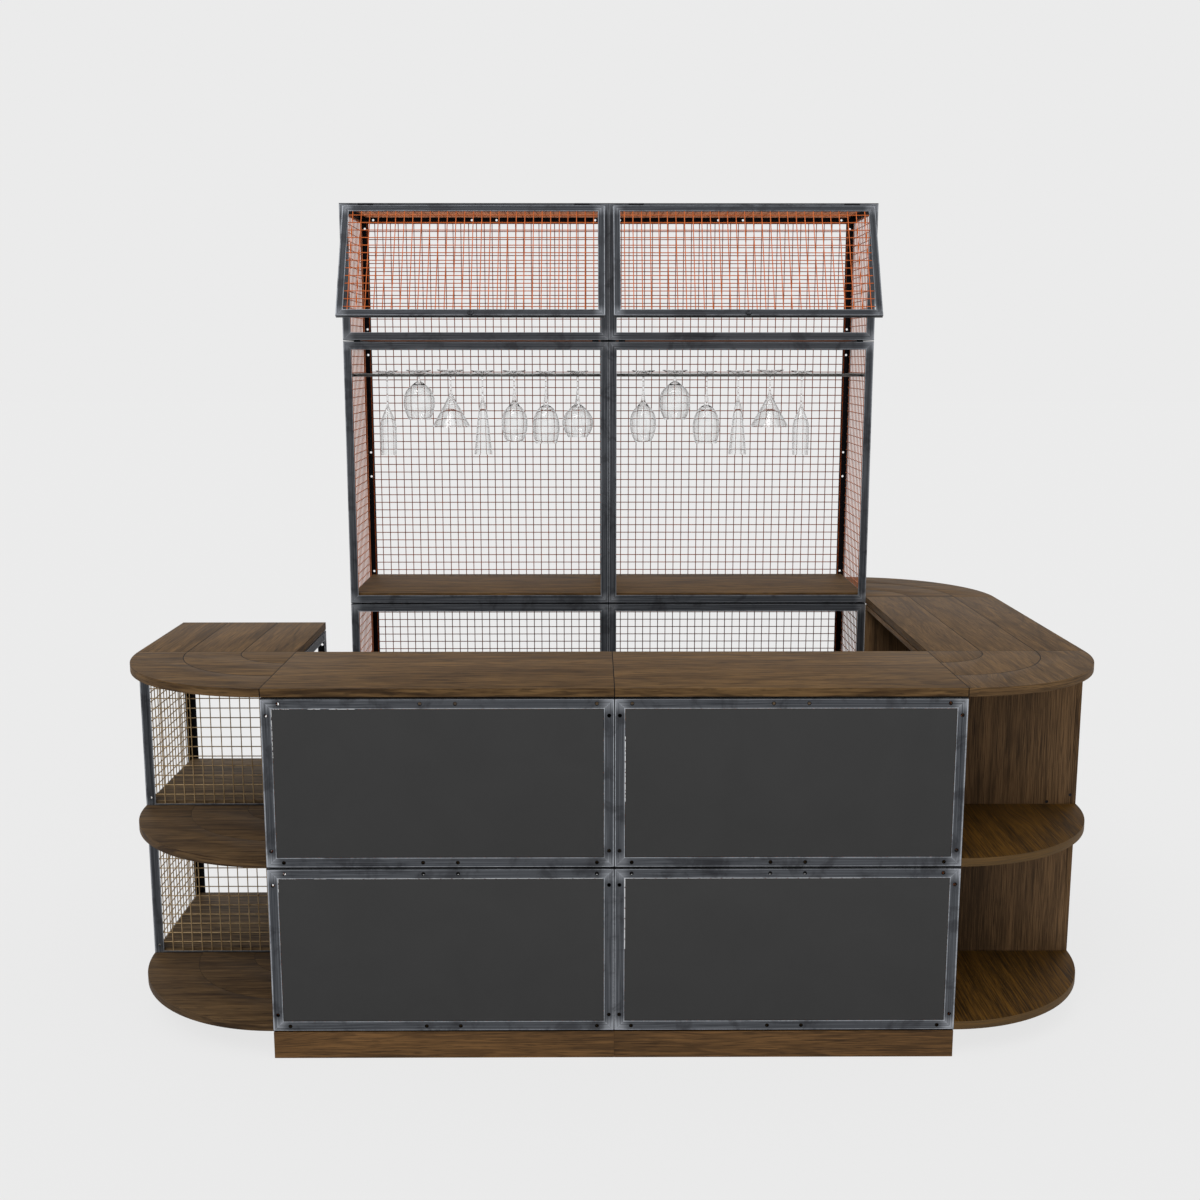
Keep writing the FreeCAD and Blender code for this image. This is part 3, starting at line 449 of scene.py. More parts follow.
# The crate floors take a lighter copy of the oak: painted light from behind.
LIT_FLOOR_OAK = oak("lit_floor_oak", (119, 98, 72), (58, 45, 31), 0.6)
PLINTH_OAK = oak("plinth_oak", (111, 81, 49), (68, 49, 30), 1.3)
CABINET_OAK = oak("cabinet_oak", (120, 92, 63), (64, 48, 32), 2.2)
COPPER = speckled("copper_wire", (206, 109, 52), (170, 84, 38), (900.0, 30.0), 0.45, 0.2, 0.02)
ROOF_COPPER = speckled("roof_copper", (182, 120, 86), (144, 92, 64), (900.0, 30.0), 0.45, 0.2, 0.02)
SIDE_COPPER = speckled("side_copper", (200, 124, 86), (160, 96, 64), (900.0, 30.0), 0.5, 0.15, 0.02)
# A darker, more saturated copy of the copper for the front and rear wires: painted shade.
SHADED_COPPER = speckled("shaded_copper", (164, 82, 38), (126, 58, 26), (900.0, 30.0), 0.5, 0.15, 0.02)
BRASS = speckled("brass_wire", (184, 158, 118), (150, 124, 86), (900.0, 30.0), 0.45, 0.2, 0.02)
CHARCOAL = speckled("charcoal_coat", (55, 55, 55), (53, 53, 53), (1400.0, 5.0), 0.7, 0.0, 0.03)
RUBBER = speckled("black_rubber", (26, 26, 26), (18, 18, 18), (500.0, 20.0), 0.8, 0.0, 0.05)
BLACK_STEEL = speckled("black_steel", (46, 46, 48), (30, 30, 32), (700.0, 40.0), 0.45, 0.8, 0.03)
RACK_STEEL = speckled("rack_steel", (122, 122, 120), (92, 92, 90), (700.0, 24.0), 0.3, 1.0, 0.01)
HINGE_STEEL = speckled("hinge_steel", (50, 51, 54), (34, 35, 38), (700.0, 40.0), 0.4, 0.9, 0.03)
GLASS = clear_glass()


def in_scene(name, data):
    thing = bpy.data.objects.new(name, data)
    bpy.context.scene.collection.objects.link(thing)
    return thing


def finish_piece(name, data, material, body, nodes):
    """Puts a finished mesh in the scene, on its body, in place of its CAD nodes."""
    data.name = name
    data.materials.clear()
    data.materials.append(material)
    data.shade_smooth()
    data.set_sharp_from_angle(angle=SHARP_ANGLE)
    piece = in_scene(name, data)
    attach(piece, body)
    if nodes:
        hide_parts(*nodes)


def from_bmesh(mesh):
    data = bpy.data.meshes.new("made")
    mesh.to_mesh(data)
    mesh.free()
    return data


def dress(node, material):
    """Gives a CAD node its finish."""
    for slot in frame["nodes"][node].material_slots:
        slot.material = material


def merged(node, turn=None):
    """A CAD node's mesh with merged points, turned first if there is a turn."""
    mesh = bmesh.new()
    mesh.from_mesh(frame["nodes"][node].data)
    if turn is not None:
        bmesh.ops.transform(mesh, matrix=turn, verts=mesh.verts)
    bmesh.ops.remove_doubles(mesh, verts=mesh.verts, dist=WELD)
    return mesh


def smooth_copy(node, name, material):
    """A copy of a CAD node whose round faces shade as round."""
    finish_piece(name, from_bmesh(merged(node)), material, "bar", [node])


def box_round(points):
    """Low and high corner of the box round some points."""
    low = Vector([min(point[axis] for point in points) for axis in range(3)])
    high = Vector([max(point[axis] for point in points) for axis in range(3)])
    return low, high


def solid_boxes(node, turn=None):
    """Low and high corners of each separate solid of a CAD node, in a steady order."""
    mesh = merged(node, turn)
    seen = set()
    boxes = []
    for start in mesh.verts:
        if start in seen:
            continue
        seen.add(start)
        group = [start]
        for point in group:
            for edge in point.link_edges:
                other = edge.other_vert(point)
                if other not in seen:
                    seen.add(other)
                    group.append(other)
        boxes.append(box_round([point.co for point in group]))
    mesh.free()
    return sorted(boxes, key=lambda box: tuple(round(value, 4) for value in box[0]))


# The number of the first board of each kind, and the step from one piece to the next. The number
# says which part of the grain a board shows.
BOARD_NUMBERS = {
    "counter": (0.13, 0.31),
    "wing_top": (0.47, 0.23),
    "corner_top": (0.07, 0.19),
    "corner_shelves": (0.61, 0.17),
    "floors": (0.29, 0.4),
    "plinth": (0.37, 0.21),
    "cabinet": (0.83, 0.27),
    "plain": (0.0, 0.0),
}
# The step of the number from board to board within a piece.
BOARD_STEP = 0.381


class Boards:
    """Boards with eased edges, a grain map, a number each and painted shade at their seams, gathered in one
    mesh.
    """

    def __init__(self, kind, index=0, ease=BOARD_EASE, darkness=1.0):
        self.mesh = bmesh.new()
        self.grain = self.mesh.loops.layers.uv.new("Grain")
        self.number = self.mesh.verts.layers.float.new("board")
        self.seam_shade = self.mesh.faces.layers.float.new("seam_shade")
        self.round_edge = self.mesh.faces.layers.float.new("round_edge")
        first, step = BOARD_NUMBERS[kind]
        self.first = first + step * index
        self.count = 0
        self.ease = ease
        self.darkness = darkness

    def add(self, outline, low, high, grain, seams=(), centre=None):
        """An upright board over an outline. grain is 0, 1 or 2, for X, Y or Z.

        seams are the places where it meets its neighbours, whose faces get painted shade: an axis, or "r" for
        a radius, and a value.
        """
        known = set(self.mesh.faces)
        bottom = [self.mesh.verts.new((x, y, low)) for x, y in outline]
        top = [self.mesh.verts.new((x, y, high)) for x, y in outline]
        self.mesh.faces.new(list(reversed(bottom)))
        self.mesh.faces.new(top)
        for index in range(len(outline)):
            after = (index + 1) % len(outline)
            self.mesh.faces.new((bottom[index], bottom[after], top[after], top[index]))
        made = [face for face in self.mesh.faces if face not in known]
        bmesh.ops.recalc_face_normals(self.mesh, faces=made)
        edges = {edge for face in made for edge in face.edges}
        sharp = [edge for edge in self.mesh.edges if edge in edges and edge.calc_face_angle(0) > SHARP_ANGLE]
        shape = {"segments": 2, "profile": 0.6, "affect": "EDGES", "clamp_overlap": True}
        bmesh.ops.bevel(self.mesh, geom=sharp, offset=self.ease, **shape)
        board = (self.first + BOARD_STEP * self.count) % 1.0
        self.count += 1
        for face in self.mesh.faces:
            if face in known:
                continue
            if abs(face.normal.z) < LEVEL_FACE:
                face[self.round_edge] = float(centre is not None)
                # Painted shade on the faces at a seam.
                if self.meets(face.calc_center_median(), seams, centre):
                    face[self.seam_shade] = self.darkness
            for loop in face.loops:
                loop.vert[self.number] = board
                loop[self.grain].uv = grain_place(loop.vert.co, face.normal, grain, centre)

    def meets(self, point, seams, centre):
        """Whether a point lies on one of the seams, or on the eased edge beside it."""
        for kind, value in seams:
            place = (point.xy - Vector(centre)).length if kind == "r" else point[kind]
            if abs(place - value) < SEAM_EASES * self.ease:
                return True
        return False

    def box(self, low, high, grain, seams=()):
        outline = ((low[0], low[1]), (high[0], low[1]), (high[0], high[1]), (low[0], high[1]))
        self.add(outline, low[2], high[2], grain, seams)

    def finish(self, name, wood, nodes):
        """Puts the boards in the scene as one piece."""
        finish_piece(name, from_bmesh(self.mesh), wood, "bar", nodes)


def grain_place(point, normal, grain, centre):
    """Where a point lies along and across the grain on a face. Round edges are read along their arc."""
    sizes = [abs(value) for value in normal]
    facing = sizes.index(max(sizes))
    if centre is not None and facing != 2:
        offset = Vector((point[0] - centre[0], point[1] - centre[1]))
        return (math.atan2(offset[1], offset[0]) * offset.length, point[2])
    if facing == grain:
        return tuple(point[axis] for axis in range(3) if axis != facing)
    return (point[grain], point[3 - facing - grain])


def arc(centre, radius, start, end, steps):
    """Points of an arc, angles in degrees."""
    points = []
    for step in range(steps + 1):
        turn = math.radians(start + (end - start) * step / steps)
        points.append((centre[0] + radius * math.cos(turn), centre[1] + radius * math.sin(turn)))
    return points


def rounded_bands(boards, corner, start, low, high, grain, shares):
    """A quarter-round board as bands that meet at curved seams, at these shares of its radius."""
    unit = cad_high.x - BAY
    radii = [0.0] + [share * unit for share in shares] + [unit]
    seams = [(0, corner[0]), (1, corner[1])] + [("r", radius) for radius in radii[1:-1]]
    for inner, outer in zip(radii, radii[1:]):
        outline = arc(corner, outer, start, start + 90, ARC_STEPS)
        if inner:
            outline += arc(corner, inner, start + 90, start, ARC_STEPS)
        else:
            outline.append(corner)
        boards.add(outline, low, high, grain, seams, corner)


def straight_bands(boards, low, high, from_high_x, ends):
    """A wing top as three bands whose seams carry on from the rounded corner."""
    unit = high.x - low.x
    marks = [0.0] + [share * unit for share in SEAM_SHARES] + [unit]
    if from_high_x:
        marks = [unit - mark for mark in reversed(marks)]
    seams = [(0, low.x + mark) for mark in marks[1:-1]] + [(1, end) for end in ends]
    for near, far in zip(marks, marks[1:]):
        boards.box((low.x + near, low.y, low.z), (low.x + far, high.y, high.z), 1, seams)


# Half the length of the front, and how far back the wings begin and the right one ends.
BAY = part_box("counter_right")[1].x
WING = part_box("wing_top_left")[0].y
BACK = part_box("wing_top_right")[1].y
# The middle of each rounded corner, the angle at which its quarter starts and the axis of its grain.
CORNERS = {
    "left": ((-BAY, WING), 180, 0),
    "right_front": ((BAY, WING), 270, 1),
    "right_back": ((BAY, BACK), 0, 0),
}


def make_tops():
    for index, side in enumerate(SIDES):
        node = f"counter_{side}"
        boards = Boards("counter", index)
        low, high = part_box(node)
        # The seam at the bottom puts painted shadow on the counter's lower edge, above the frame.
        boards.box(low, high, 0, [(0, -BAY), (0, 0.0), (0, BAY), (2, low.z)])
        boards.finish(f"{node}_slab", TOP_OAK, [node])
        node = f"wing_top_{side}"
        boards = Boards("wing_top", index)
        low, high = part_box(node)
        ends = (WING,) if side == "left" else (WING, BACK)
        straight_bands(boards, low, high, side == "left", ends)
        boards.finish(f"{node}_bands", WING_OAK, [node])
    for index, (corner, (middle, start, grain)) in enumerate(CORNERS.items()):
        node = f"corner_top_{corner}"
        boards = Boards("corner_top", index)
        low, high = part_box(node)
        rounded_bands(boards, middle, start, low.z, high.z, grain, SEAM_SHARES)
        boards.finish(f"{node}_bands", WING_OAK if grain == 1 else TOP_OAK, [node])
        node = f"corner_shelves_{corner}"
        boards = Boards("corner_shelves", index, SHELF_EASE, FAINT_SEAM)
        shares = SEAM_SHARES if corner == "left" else ()
        for low, high in solid_boxes(node):
            rounded_bands(boards, middle, start, low.z, high.z, grain, shares)
        wood = LEFT_OAK if corner == "left" else SHADED_RIGHT_OAK
        boards.finish(f"{node}_boards", wood, [node])


def make_floors():
    for index, (node, wood) in enumerate((("crate_floors", LIT_FLOOR_OAK), ("tall_shelves", TOP_OAK))):
        boards = Boards("floors", index)
        for low, high in solid_boxes(node):
            boards.box(low, high, 0)
        boards.finish(f"{node}_boards", wood, [node])


def plinth_boards(boards, low, high):
    """Four edge boards round a deck that is let in between them."""
    thick = BOARD_THICK
    boards.box(low, (high.x, low.y + thick, high.z), 0)
    boards.box((low.x, high.y - thick, low.z), high, 0)
    boards.box((low.x, low.y + thick, low.z), (low.x + thick, high.y - thick, high.z), 1)
    boards.box((high.x - thick, low.y + thick, low.z), (high.x, high.y - thick, high.z), 1)
    deck_low = (low.x + thick, low.y + thick, high.z - thick)
    boards.box(deck_low, (high.x - thick, high.y - thick, high.z), 0)


def make_plinths():
    for index, name in enumerate(("front", "back", "left_wing", "right_wing")):
        node = f"plinth_{name}"
        low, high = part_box(node)
        boards = Boards("plinth", index)
        if name in ("front", "back"):
            plinth_boards(boards, low, Vector((0, high.y, high.z)))
            plinth_boards(boards, Vector((0, low.y, low.z)), high)
        else:
            plinth_boards(boards, low, high)
        boards.finish(f"{node}_boards", PLINTH_OAK, [node])


def make_cabinets():
    thick = BOARD_THICK
    for index, level in enumerate(LEVELS):
        node = f"cabinet_{level}"
        low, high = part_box(node)
        inner = high.x - thick
        boards = Boards("cabinet", index)
        boards.box((inner, low.y, low.z), high, 2)
        boards.box(low, (inner, low.y + thick, high.z), 2)
        boards.box((low.x, high.y - thick, low.z), (inner, high.y, high.z), 2)
        boards.box((low.x, low.y + thick, low.z), (inner, high.y - thick, low.z + thick), 1)
        boards.box((low.x, low.y + thick, high.z - thick), (inner, high.y - thick, high.z), 1)
        boards.finish(f"{node}_boards", CABINET_OAK, [node])


def make_panels():
    reach = Vector((PANEL_REACH, 0, PANEL_REACH))
    for level in LEVELS:
        for side in SIDES:
            node = f"front_panel_{level}_{side}"
            boards = Boards("plain", ease=PANEL_EASE)
            low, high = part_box(node)
            boards.box(low - reach, high + reach, 0)
            boards.finish(f"{node}_sheet", CHARCOAL, [node])


def wire_sheet_tree():
    """Geometry nodes: a flat welded sheet in its own XY plane, upright wires in front."""
    group = bpy.data.node_groups.new("wire_sheet", "GeometryNodeTree")
    group.interface.new_socket("Geometry", in_out="OUTPUT", socket_type="NodeSocketGeometry")
    for name in ("Width", "Height", "Pitch", "Radius"):
        group.interface.new_socket(name, in_out="INPUT", socket_type="NodeSocketFloat")
    group.interface.new_socket("Material", in_out="INPUT", socket_type="NodeSocketMaterial")
    tree = Tree(group)
    given = tree.add("NodeGroupInput").outputs
    circle = {"Resolution": WIRE_SIDES, "Radius": given["Radius"]}
    profile = tree.add("GeometryNodeCurvePrimitiveCircle", circle).outputs[0]
    join = tree.add("GeometryNodeJoinGeometry")
    layer = tree.times(given["Radius"], LAYER_SHARE)
    for upright in (True, False):
        across, along, spread, length = (0, 1, "Width", "Height") if upright else (1, 0, "Height", "Width")
        half_spread = tree.times(given[spread], 0.5)
        half_count = tree.math("FLOOR", tree.math("DIVIDE", half_spread, given["Pitch"]))
        count = tree.plus(tree.times(half_count, 2.0), 1.0)
        first = tree.times(tree.times(half_count, given["Pitch"]), -1.0)
        start = tree.combine({across: first, 2: tree.times(layer, 1.0 if upright else -1.0)})
        row = {"Count": count, "Start Location": start, "Offset": tree.combine({across: given["Pitch"]})}
        spots = tree.add("GeometryNodeMeshLine", row, mode="OFFSET").outputs[0]
        half = tree.times(given[length], 0.5)
        ends = {"Start": tree.combine({along: tree.times(half, -1.0)}), "End": tree.combine({along: half})}
        line = tree.add("GeometryNodeCurvePrimitiveLine", ends).outputs[0]
        inputs = {"Curve": line, "Profile Curve": profile, "Fill Caps": True}
        wire = tree.add("GeometryNodeCurveToMesh", inputs).outputs[0]
        wires = tree.add("GeometryNodeInstanceOnPoints", {"Points": spots, "Instance": wire})
        tree.link(wires.outputs[0], join.inputs[0])
    whole = tree.add("GeometryNodeRealizeInstances", {0: join.outputs[0]}).outputs[0]
    coloured = tree.add("GeometryNodeSetMaterial", {0: whole, "Material": given["Material"]})
    tree.add("NodeGroupOutput", {0: coloured.outputs[0]})
    return group


def made_by(group, values):
    """The plain mesh that a tree of geometry nodes makes from its named inputs."""
    holder = in_scene("holder", bpy.data.meshes.new("holder"))
    modifier = holder.modifiers.new("nodes", "NODES")
    modifier.node_group = group
    for item in group.interface.items_tree:
        if item.in_out == "INPUT":
            modifier[item.identifier] = values[item.name]
    seen = holder.evaluated_get(bpy.context.evaluated_depsgraph_get())
    data = bpy.data.meshes.new_from_object(seen)
    bpy.data.objects.remove(holder)
    return data


# Turns a flat sheet's plane, with its upright wires in front, into the plane of a wall.
FACINGS = {
    0: Matrix(((0, 0, 1, 0), (1, 0, 0, 0), (0, 1, 0, 0), (0, 0, 0, 1))),
    1: Matrix(((1, 0, 0, 0), (0, 0, -1, 0), (0, 1, 0, 0), (0, 0, 0, 1))),
    2: Matrix.Identity(4),
}


def wire_sheets(group, boxes, material):
    """All wire sheets of one node, each on the middle plane of its flat solid."""
    mesh = bmesh.new()
    for low, high in boxes:
        size = high - low
        thin = min(range(3), key=lambda axis: size[axis])
        width, height = ((size.y, size.z), (size.x, size.z), (size.x, size.y))[thin]
        values = {"Width": width, "Height": height, "Pitch": WIRE_PITCH, "Radius": WIRE_RADIUS}
        data = made_by(group, {**values, "Material": material})
        data.transform(Matrix.Translation((low + high) / 2) @ FACINGS[thin])
        mesh.from_mesh(data)
        bpy.data.meshes.remove(data)
    return mesh


# The finish of the wire sheets of each node, and its slot in the record.
WIRE_FINISHES = {
    # The front and rear wires take the darker copper copy, painted shade.
    "front_mesh": (SHADED_COPPER, "copper_wire"),
    "rear_mesh": (SHADED_COPPER, "copper_wire"),
    "side_mesh": (SIDE_COPPER, "copper_wire"),
    "top_mesh": (ROOF_COPPER, "copper_wire"),
    "wing_mesh": (BRASS, "brass_wire"),
}


def make_wire_sheets():
    group = wire_sheet_tree()
    for node, (material, slot) in WIRE_FINISHES.items():
        mesh = wire_sheets(group, solid_boxes(node), material)
        finish_piece(node.replace("mesh", "wires"), from_bmesh(mesh), material, "bar", [node])
    for side in SIDES:
        node = f"flap_mesh_{side}"
        closing, opening = flap_turns(side)
        mesh = wire_sheets(group, solid_boxes(node, closing), COPPER)
        bmesh.ops.transform(mesh, matrix=opening, verts=mesh.verts)
        body = f"flap_{side}"
        finish_piece(f"flap_wires_{side}", from_bmesh(mesh), COPPER, body, [node])


def flap_hinge(side):
    """The point that a flap turns on and the angle that it stands open."""
    joint = next(joint for joint in frame["joints"] if joint["child"] == f"flap_{side}")
    return Vector(joint["pos_m"]), math.radians(-joint["range_deg"][0])


def flap_turns(side):
    """The turn that closes a flap and the one that opens it to its rest angle."""
    pivot, angle = flap_hinge(side)
    closing = Matrix.Translation(pivot) @ Matrix.Rotation(angle, 4, "X") @ Matrix.Translation(-pivot)
    return closing, closing.inverted()


# How far the painted shadow below the part on top reaches down a frame.
TOP_SHADOW_GAP = 2.2 * MILLIMETRE
# How the frames look, by the first word of their names: the strength of the worn edges and painted
# highlights, how little the steel is darkened by painted shade (1 is not at all), how dark the painted
# shadow in the joints is, how far the upper one reaches down and how far the painted shade round the
# bolt holes reaches.
FRAME_FINISHES = {
    "front": (0.8, 0.94, 1.0, TOP_SHADOW_GAP, 5.4 * MILLIMETRE),
    "wing": (0.6, 0.74, 1.0, TOP_SHADOW_GAP, 0.0),
    "base": (0.65, 0.88, 1.0, TOP_SHADOW_GAP, 0.0),
    "tall": (0.65, 0.9, 1.0, TOP_SHADOW_GAP, 0.0),
    "top": (0.65, 0.9, 1.0, TOP_SHADOW_GAP, 0.0),
    "flap": (0.35, 0.42, 0.5, 0.0, 0.0),
}


def dress_frames():
    """Steel angle: every frame gets its own wear, set out from its corners."""
    for node in frame["nodes"]:
        kind = node.split("_")[0]
        if "_frame" not in node:
            continue
        if kind == "flap":
            side = node.split("_")[-1]
            closing, _ = flap_turns(side)
            low, high = box_round([corner for box in solid_boxes(node, closing) for corner in box])
            pivot, angle = flap_hinge(side)
            steel = angle_steel(f"{node}_steel", low, high, FLAP_LEG, *FRAME_FINISHES[kind], angle, pivot)
        else:
            low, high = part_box(node)
            steel = angle_steel(f"{node}_steel", low, high, ANGLE_LEG, *FRAME_FINISHES[kind])
        dress(node, steel)


# Outer lines of the bowls: shares of the bowl's radius against shares of its depth, from the
# stem to the rim.
BOWL_SHARES = {
    "flute": (
        (0.13, 0.0), (0.25, 0.06), (0.46, 0.14), (0.67, 0.22), (0.82, 0.29),
        (0.95, 0.38), (1.0, 0.52), (1.0, 0.7), (0.97, 0.87), (0.93, 1.0),
    ),
    "trumpet": (
        (0.14, 0.0), (0.34, 0.08), (0.47, 0.2), (0.6, 0.36),
        (0.72, 0.54), (0.83, 0.72), (0.92, 0.87), (1.0, 1.0),
    ),
    "goblet": (
        (0.1, 0.0), (0.24, 0.04), (0.42, 0.1), (0.57, 0.15), (0.75, 0.22), (0.89, 0.315),
        (0.97, 0.43), (1.0, 0.54), (0.985, 0.65), (0.9, 0.8), (0.8, 0.91), (0.7, 1.0),
    ),
    "martini": ((0.07, 0.0), (0.3, 0.27), (0.53, 0.51), (0.77, 0.76), (1.0, 1.0)),
    "brandy": (
        (0.16, 0.0), (0.42, 0.13), (0.62, 0.19), (0.83, 0.29), (0.96, 0.4),
        (1.0, 0.53), (0.98, 0.67), (0.89, 0.8), (0.78, 0.9), (0.61, 1.0),
    ),
    "wine": (
        (0.18, 0.0), (0.4, 0.045), (0.62, 0.12), (0.82, 0.25), (0.93, 0.37),
        (0.99, 0.5), (1.0, 0.65), (0.92, 0.82), (0.8, 1.0),
    ),
    "balloon": (
        (0.18, 0.0), (0.39, 0.085), (0.57, 0.17), (0.78, 0.28), (0.94, 0.42),
        (1.0, 0.56), (0.95, 0.7), (0.83, 0.845), (0.62, 1.0),
    ),
}
# The bowl's depth as a share of the glass's length, and the radii of bowl, foot and stem in millimetres.
GLASS_SIZES = {
    "flute": (0.588, 32.5, 44, 4),
    "trumpet": (0.645, 35, 46, 4),
    "goblet": (0.78, 61, 50, 5.5),
    "martini": (0.58, 75, 53, 4),
    "brandy": (0.58, 51, 46, 4.5),
    "wine": (0.53, 53, 40, 4.5),
    "balloon": (0.5, 61, 42, 4.5),
}
GLASS_WALL = 1.5 * MILLIMETRE
# How far the solid foot of a bowl reaches above its stem.
GLASS_BASE = 5 * MILLIMETRE
FOOT_THICK = 2.5 * MILLIMETRE
FOOT_RISE_SHARE = 0.36
LATHE_SIDES = 48
CURVE_STEPS = 7


def smooth_line(points):
    """A Catmull-Rom line through a few points."""
    ends = [points[0], *points, points[-1]]
    line = []
    for before, start, end, after in zip(ends, ends[1:], ends[2:], ends[3:]):
        for step in range(CURVE_STEPS):
            t = step / CURVE_STEPS
            line.append(tuple(
                s + 0.5 * t * ((e - b) + t * ((2 * b - 5 * s + 4 * e - a) + t * (3 * s - b - 3 * e + a)))
                for b, s, e, a in zip(before, start, end, after)
            ))
    line.append(points[-1])
    return line


def glass_profile(kind, long):
    """Radius and height from the top of the foot down the outside, round the rim and up inside."""
    depth_share, *radii = GLASS_SIZES[kind]
    bowl, foot, stem = [radius * MILLIMETRE for radius in radii]
    depth = depth_share * long
    neck = depth - long
    outer = [(share * bowl, neck - along * depth) for share, along in BOWL_SHARES[kind]]

    def under_foot(radius):
        return -FOOT_THICK - FOOT_RISE_SHARE * (foot - radius)

    stem_top = under_foot(stem)
    line = [(foot, -0.6 * FOOT_THICK)]
    line += [(radius, under_foot(radius)) for radius in (0.96 * foot, 0.5 * foot, 2 * stem)]
    line += [(0.95 * stem, stem_top - 2 * FOOT_THICK), (0.8 * stem, 0.5 * (stem_top + neck)), outer[0]]
    outside = smooth_line(line) + smooth_line(outer)[1:]
    base = neck - GLASS_BASE
    inside = [(radius - GLASS_WALL, height) for radius, height in outer if height < base - GLASS_WALL]
    inside = smooth_line([(0.004 * bowl, base)] + inside)
    rim_radius, rim_height = outer[-1]
    rim = [(rim_radius - 0.5 * GLASS_WALL, rim_height)]
    return [(0.0, 0.0), (foot - 0.3 * FOOT_THICK, 0.0)] + outside + rim + inside[::-1] + [(0.0, inside[0][1])]


def lathe(mesh, profile, centre):
    """Turns a profile about an upright axis."""
    rings = []
    for radius, height in profile:
        if radius == 0.0:
            rings.append([mesh.verts.new((centre[0], centre[1], centre[2] + height))])
            continue
        ring = []
        for side in range(LATHE_SIDES):
            turn = 2 * math.pi * side / LATHE_SIDES
            x, y = centre[0] + radius * math.cos(turn), centre[1] + radius * math.sin(turn)
            ring.append(mesh.verts.new((x, y, centre[2] + height)))
        rings.append(ring)
    made = []
    for upper, lower in zip(rings, rings[1:]):
        for side in range(LATHE_SIDES):
            after = (side + 1) % LATHE_SIDES
            spots = ((upper, side), (lower, side), (lower, after), (upper, after))
            corners = list(dict.fromkeys(ring[spot % len(ring)] for ring, spot in spots))
            if len(corners) > 2:
                made.append(mesh.faces.new(corners))
    bmesh.ops.recalc_face_normals(mesh, faces=made)


def make_glasses():
    for kind in BOWL_SHARES:
        node = f"{kind}_glasses"
        mesh = bmesh.new()
        for low, high in solid_boxes(node):
            centre = (0.5 * (low.x + high.x), 0.5 * (low.y + high.y), high.z)
            lathe(mesh, glass_profile(kind, high.z - low.z), centre)
        finish_piece(f"{kind}_glassware", from_bmesh(mesh), GLASS, "bar", [node])


# A flap's catch button lies further than this below its hinge pins, and the hinge leaves don't.
BUTTON_BELOW = 4 * FLAP_LEG
CATCH_RADIUS = 10.5 * MILLIMETRE
CATCH_HIGH = 4 * MILLIMETRE
SCREW_RADIUS = 5 * MILLIMETRE
SCREW_HIGH = 0.6 * MILLIMETRE
# Screws in the front of the upper cabinet: distance from its outer side and above its foot,
# in millimetres.
SCREW_PLACES = ((19, 54.5), (94, 32))


def button_profile(radius, high):
    """A round head with eased edges and a shallow dish, from the middle of its face outwards."""
    dish = 0.3 * high
    ease = 0.25 * high
    return [
        (0.0, -dish), (0.42 * radius, -dish), (0.52 * radius, 0.0), (radius - ease, 0.0),
        (radius, -ease), (radius, -high), (0.0, -high),
    ]


# Turns a button made upright so that it faces the front.
FACING_FRONT = Matrix.Rotation(math.radians(90), 4, "X")


def add_button(mesh, radius, high, place):
    """A round head that faces the front, with the rim of its face at a place."""
    known = set(mesh.verts)
    lathe(mesh, button_profile(radius, high), (0, 0, 0))
    made = [point for point in mesh.verts if point not in known]
    bmesh.ops.transform(mesh, matrix=Matrix.Translation(place) @ FACING_FRONT, verts=made)


def make_catches():
    """The dished catch button in the middle of each flap's bottom bar, with the flap's hinge leaves."""
    for side in SIDES:
        node = f"flap_fittings_{side}"
        closing, opening = flap_turns(side)
        mesh = merged(node, closing)
        pivot, _ = flap_hinge(side)
        button = [point for point in mesh.verts if pivot.z - point.co.z > BUTTON_BELOW]
        low, high = box_round([point.co for point in button])
        bmesh.ops.delete(mesh, geom=button, context="VERTS")
        middle = 0.5 * (low + high)
        add_button(mesh, CATCH_RADIUS, CATCH_HIGH, Vector((middle.x, low.y, middle.z)))
        bmesh.ops.transform(mesh, matrix=opening, verts=mesh.verts)
        name = f"flap_catch_and_leaves_{side}"
        finish_piece(name, from_bmesh(mesh), HINGE_STEEL, f"flap_{side}", [node])


def make_screws():
    """Dark screw heads in the front board of the upper cabinet and in the left wing's rear post."""
    low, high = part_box("cabinet_upper")
    places = [
        (high.x - from_side * MILLIMETRE, low.y, low.z + above * MILLIMETRE)
        for from_side, above in SCREW_PLACES
    ]
    for level in LEVELS:
        low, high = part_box(f"wing_frame_{level}")
        places.append((low.x + HOLE_LINE, high.y - STEEL_THICK, low.z + HOLE_END))
    mesh = bmesh.new()
    for place in places:
        add_button(mesh, SCREW_RADIUS, SCREW_HIGH, Vector(place) - Vector((0, 0.5 * SCREW_HIGH, 0)))
    finish_piece("small_screws", from_bmesh(mesh), BLACK_STEEL, "bar", [])


# How far the dark strips reach below the tops of the frames, and how far they stay from their ends.
STRIP_DROP = 18.8 * MILLIMETRE
STRIP_ENDS = 75 * MILLIMETRE


def make_strips():
    """Dark strips behind the upper bars of the lower front frames, that stand in for the shade seen through
    their bolt holes.
    """
    strips = Boards("plain", ease=PANEL_EASE)
    for side, outer, inner in (("left", STRIP_ENDS, STEEL_THICK), ("right", STEEL_THICK, STRIP_ENDS)):
        low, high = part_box(f"front_frame_lower_{side}")
        front = low.y + STEEL_CLEAR
        near = (low.x + outer, front, high.z - STRIP_DROP)
        strips.box(near, (high.x - inner, front + STEEL_THICK, high.z - STEEL_CLEAR), 0)
    strips.finish("front_hole_shade_strips", RUBBER, [])


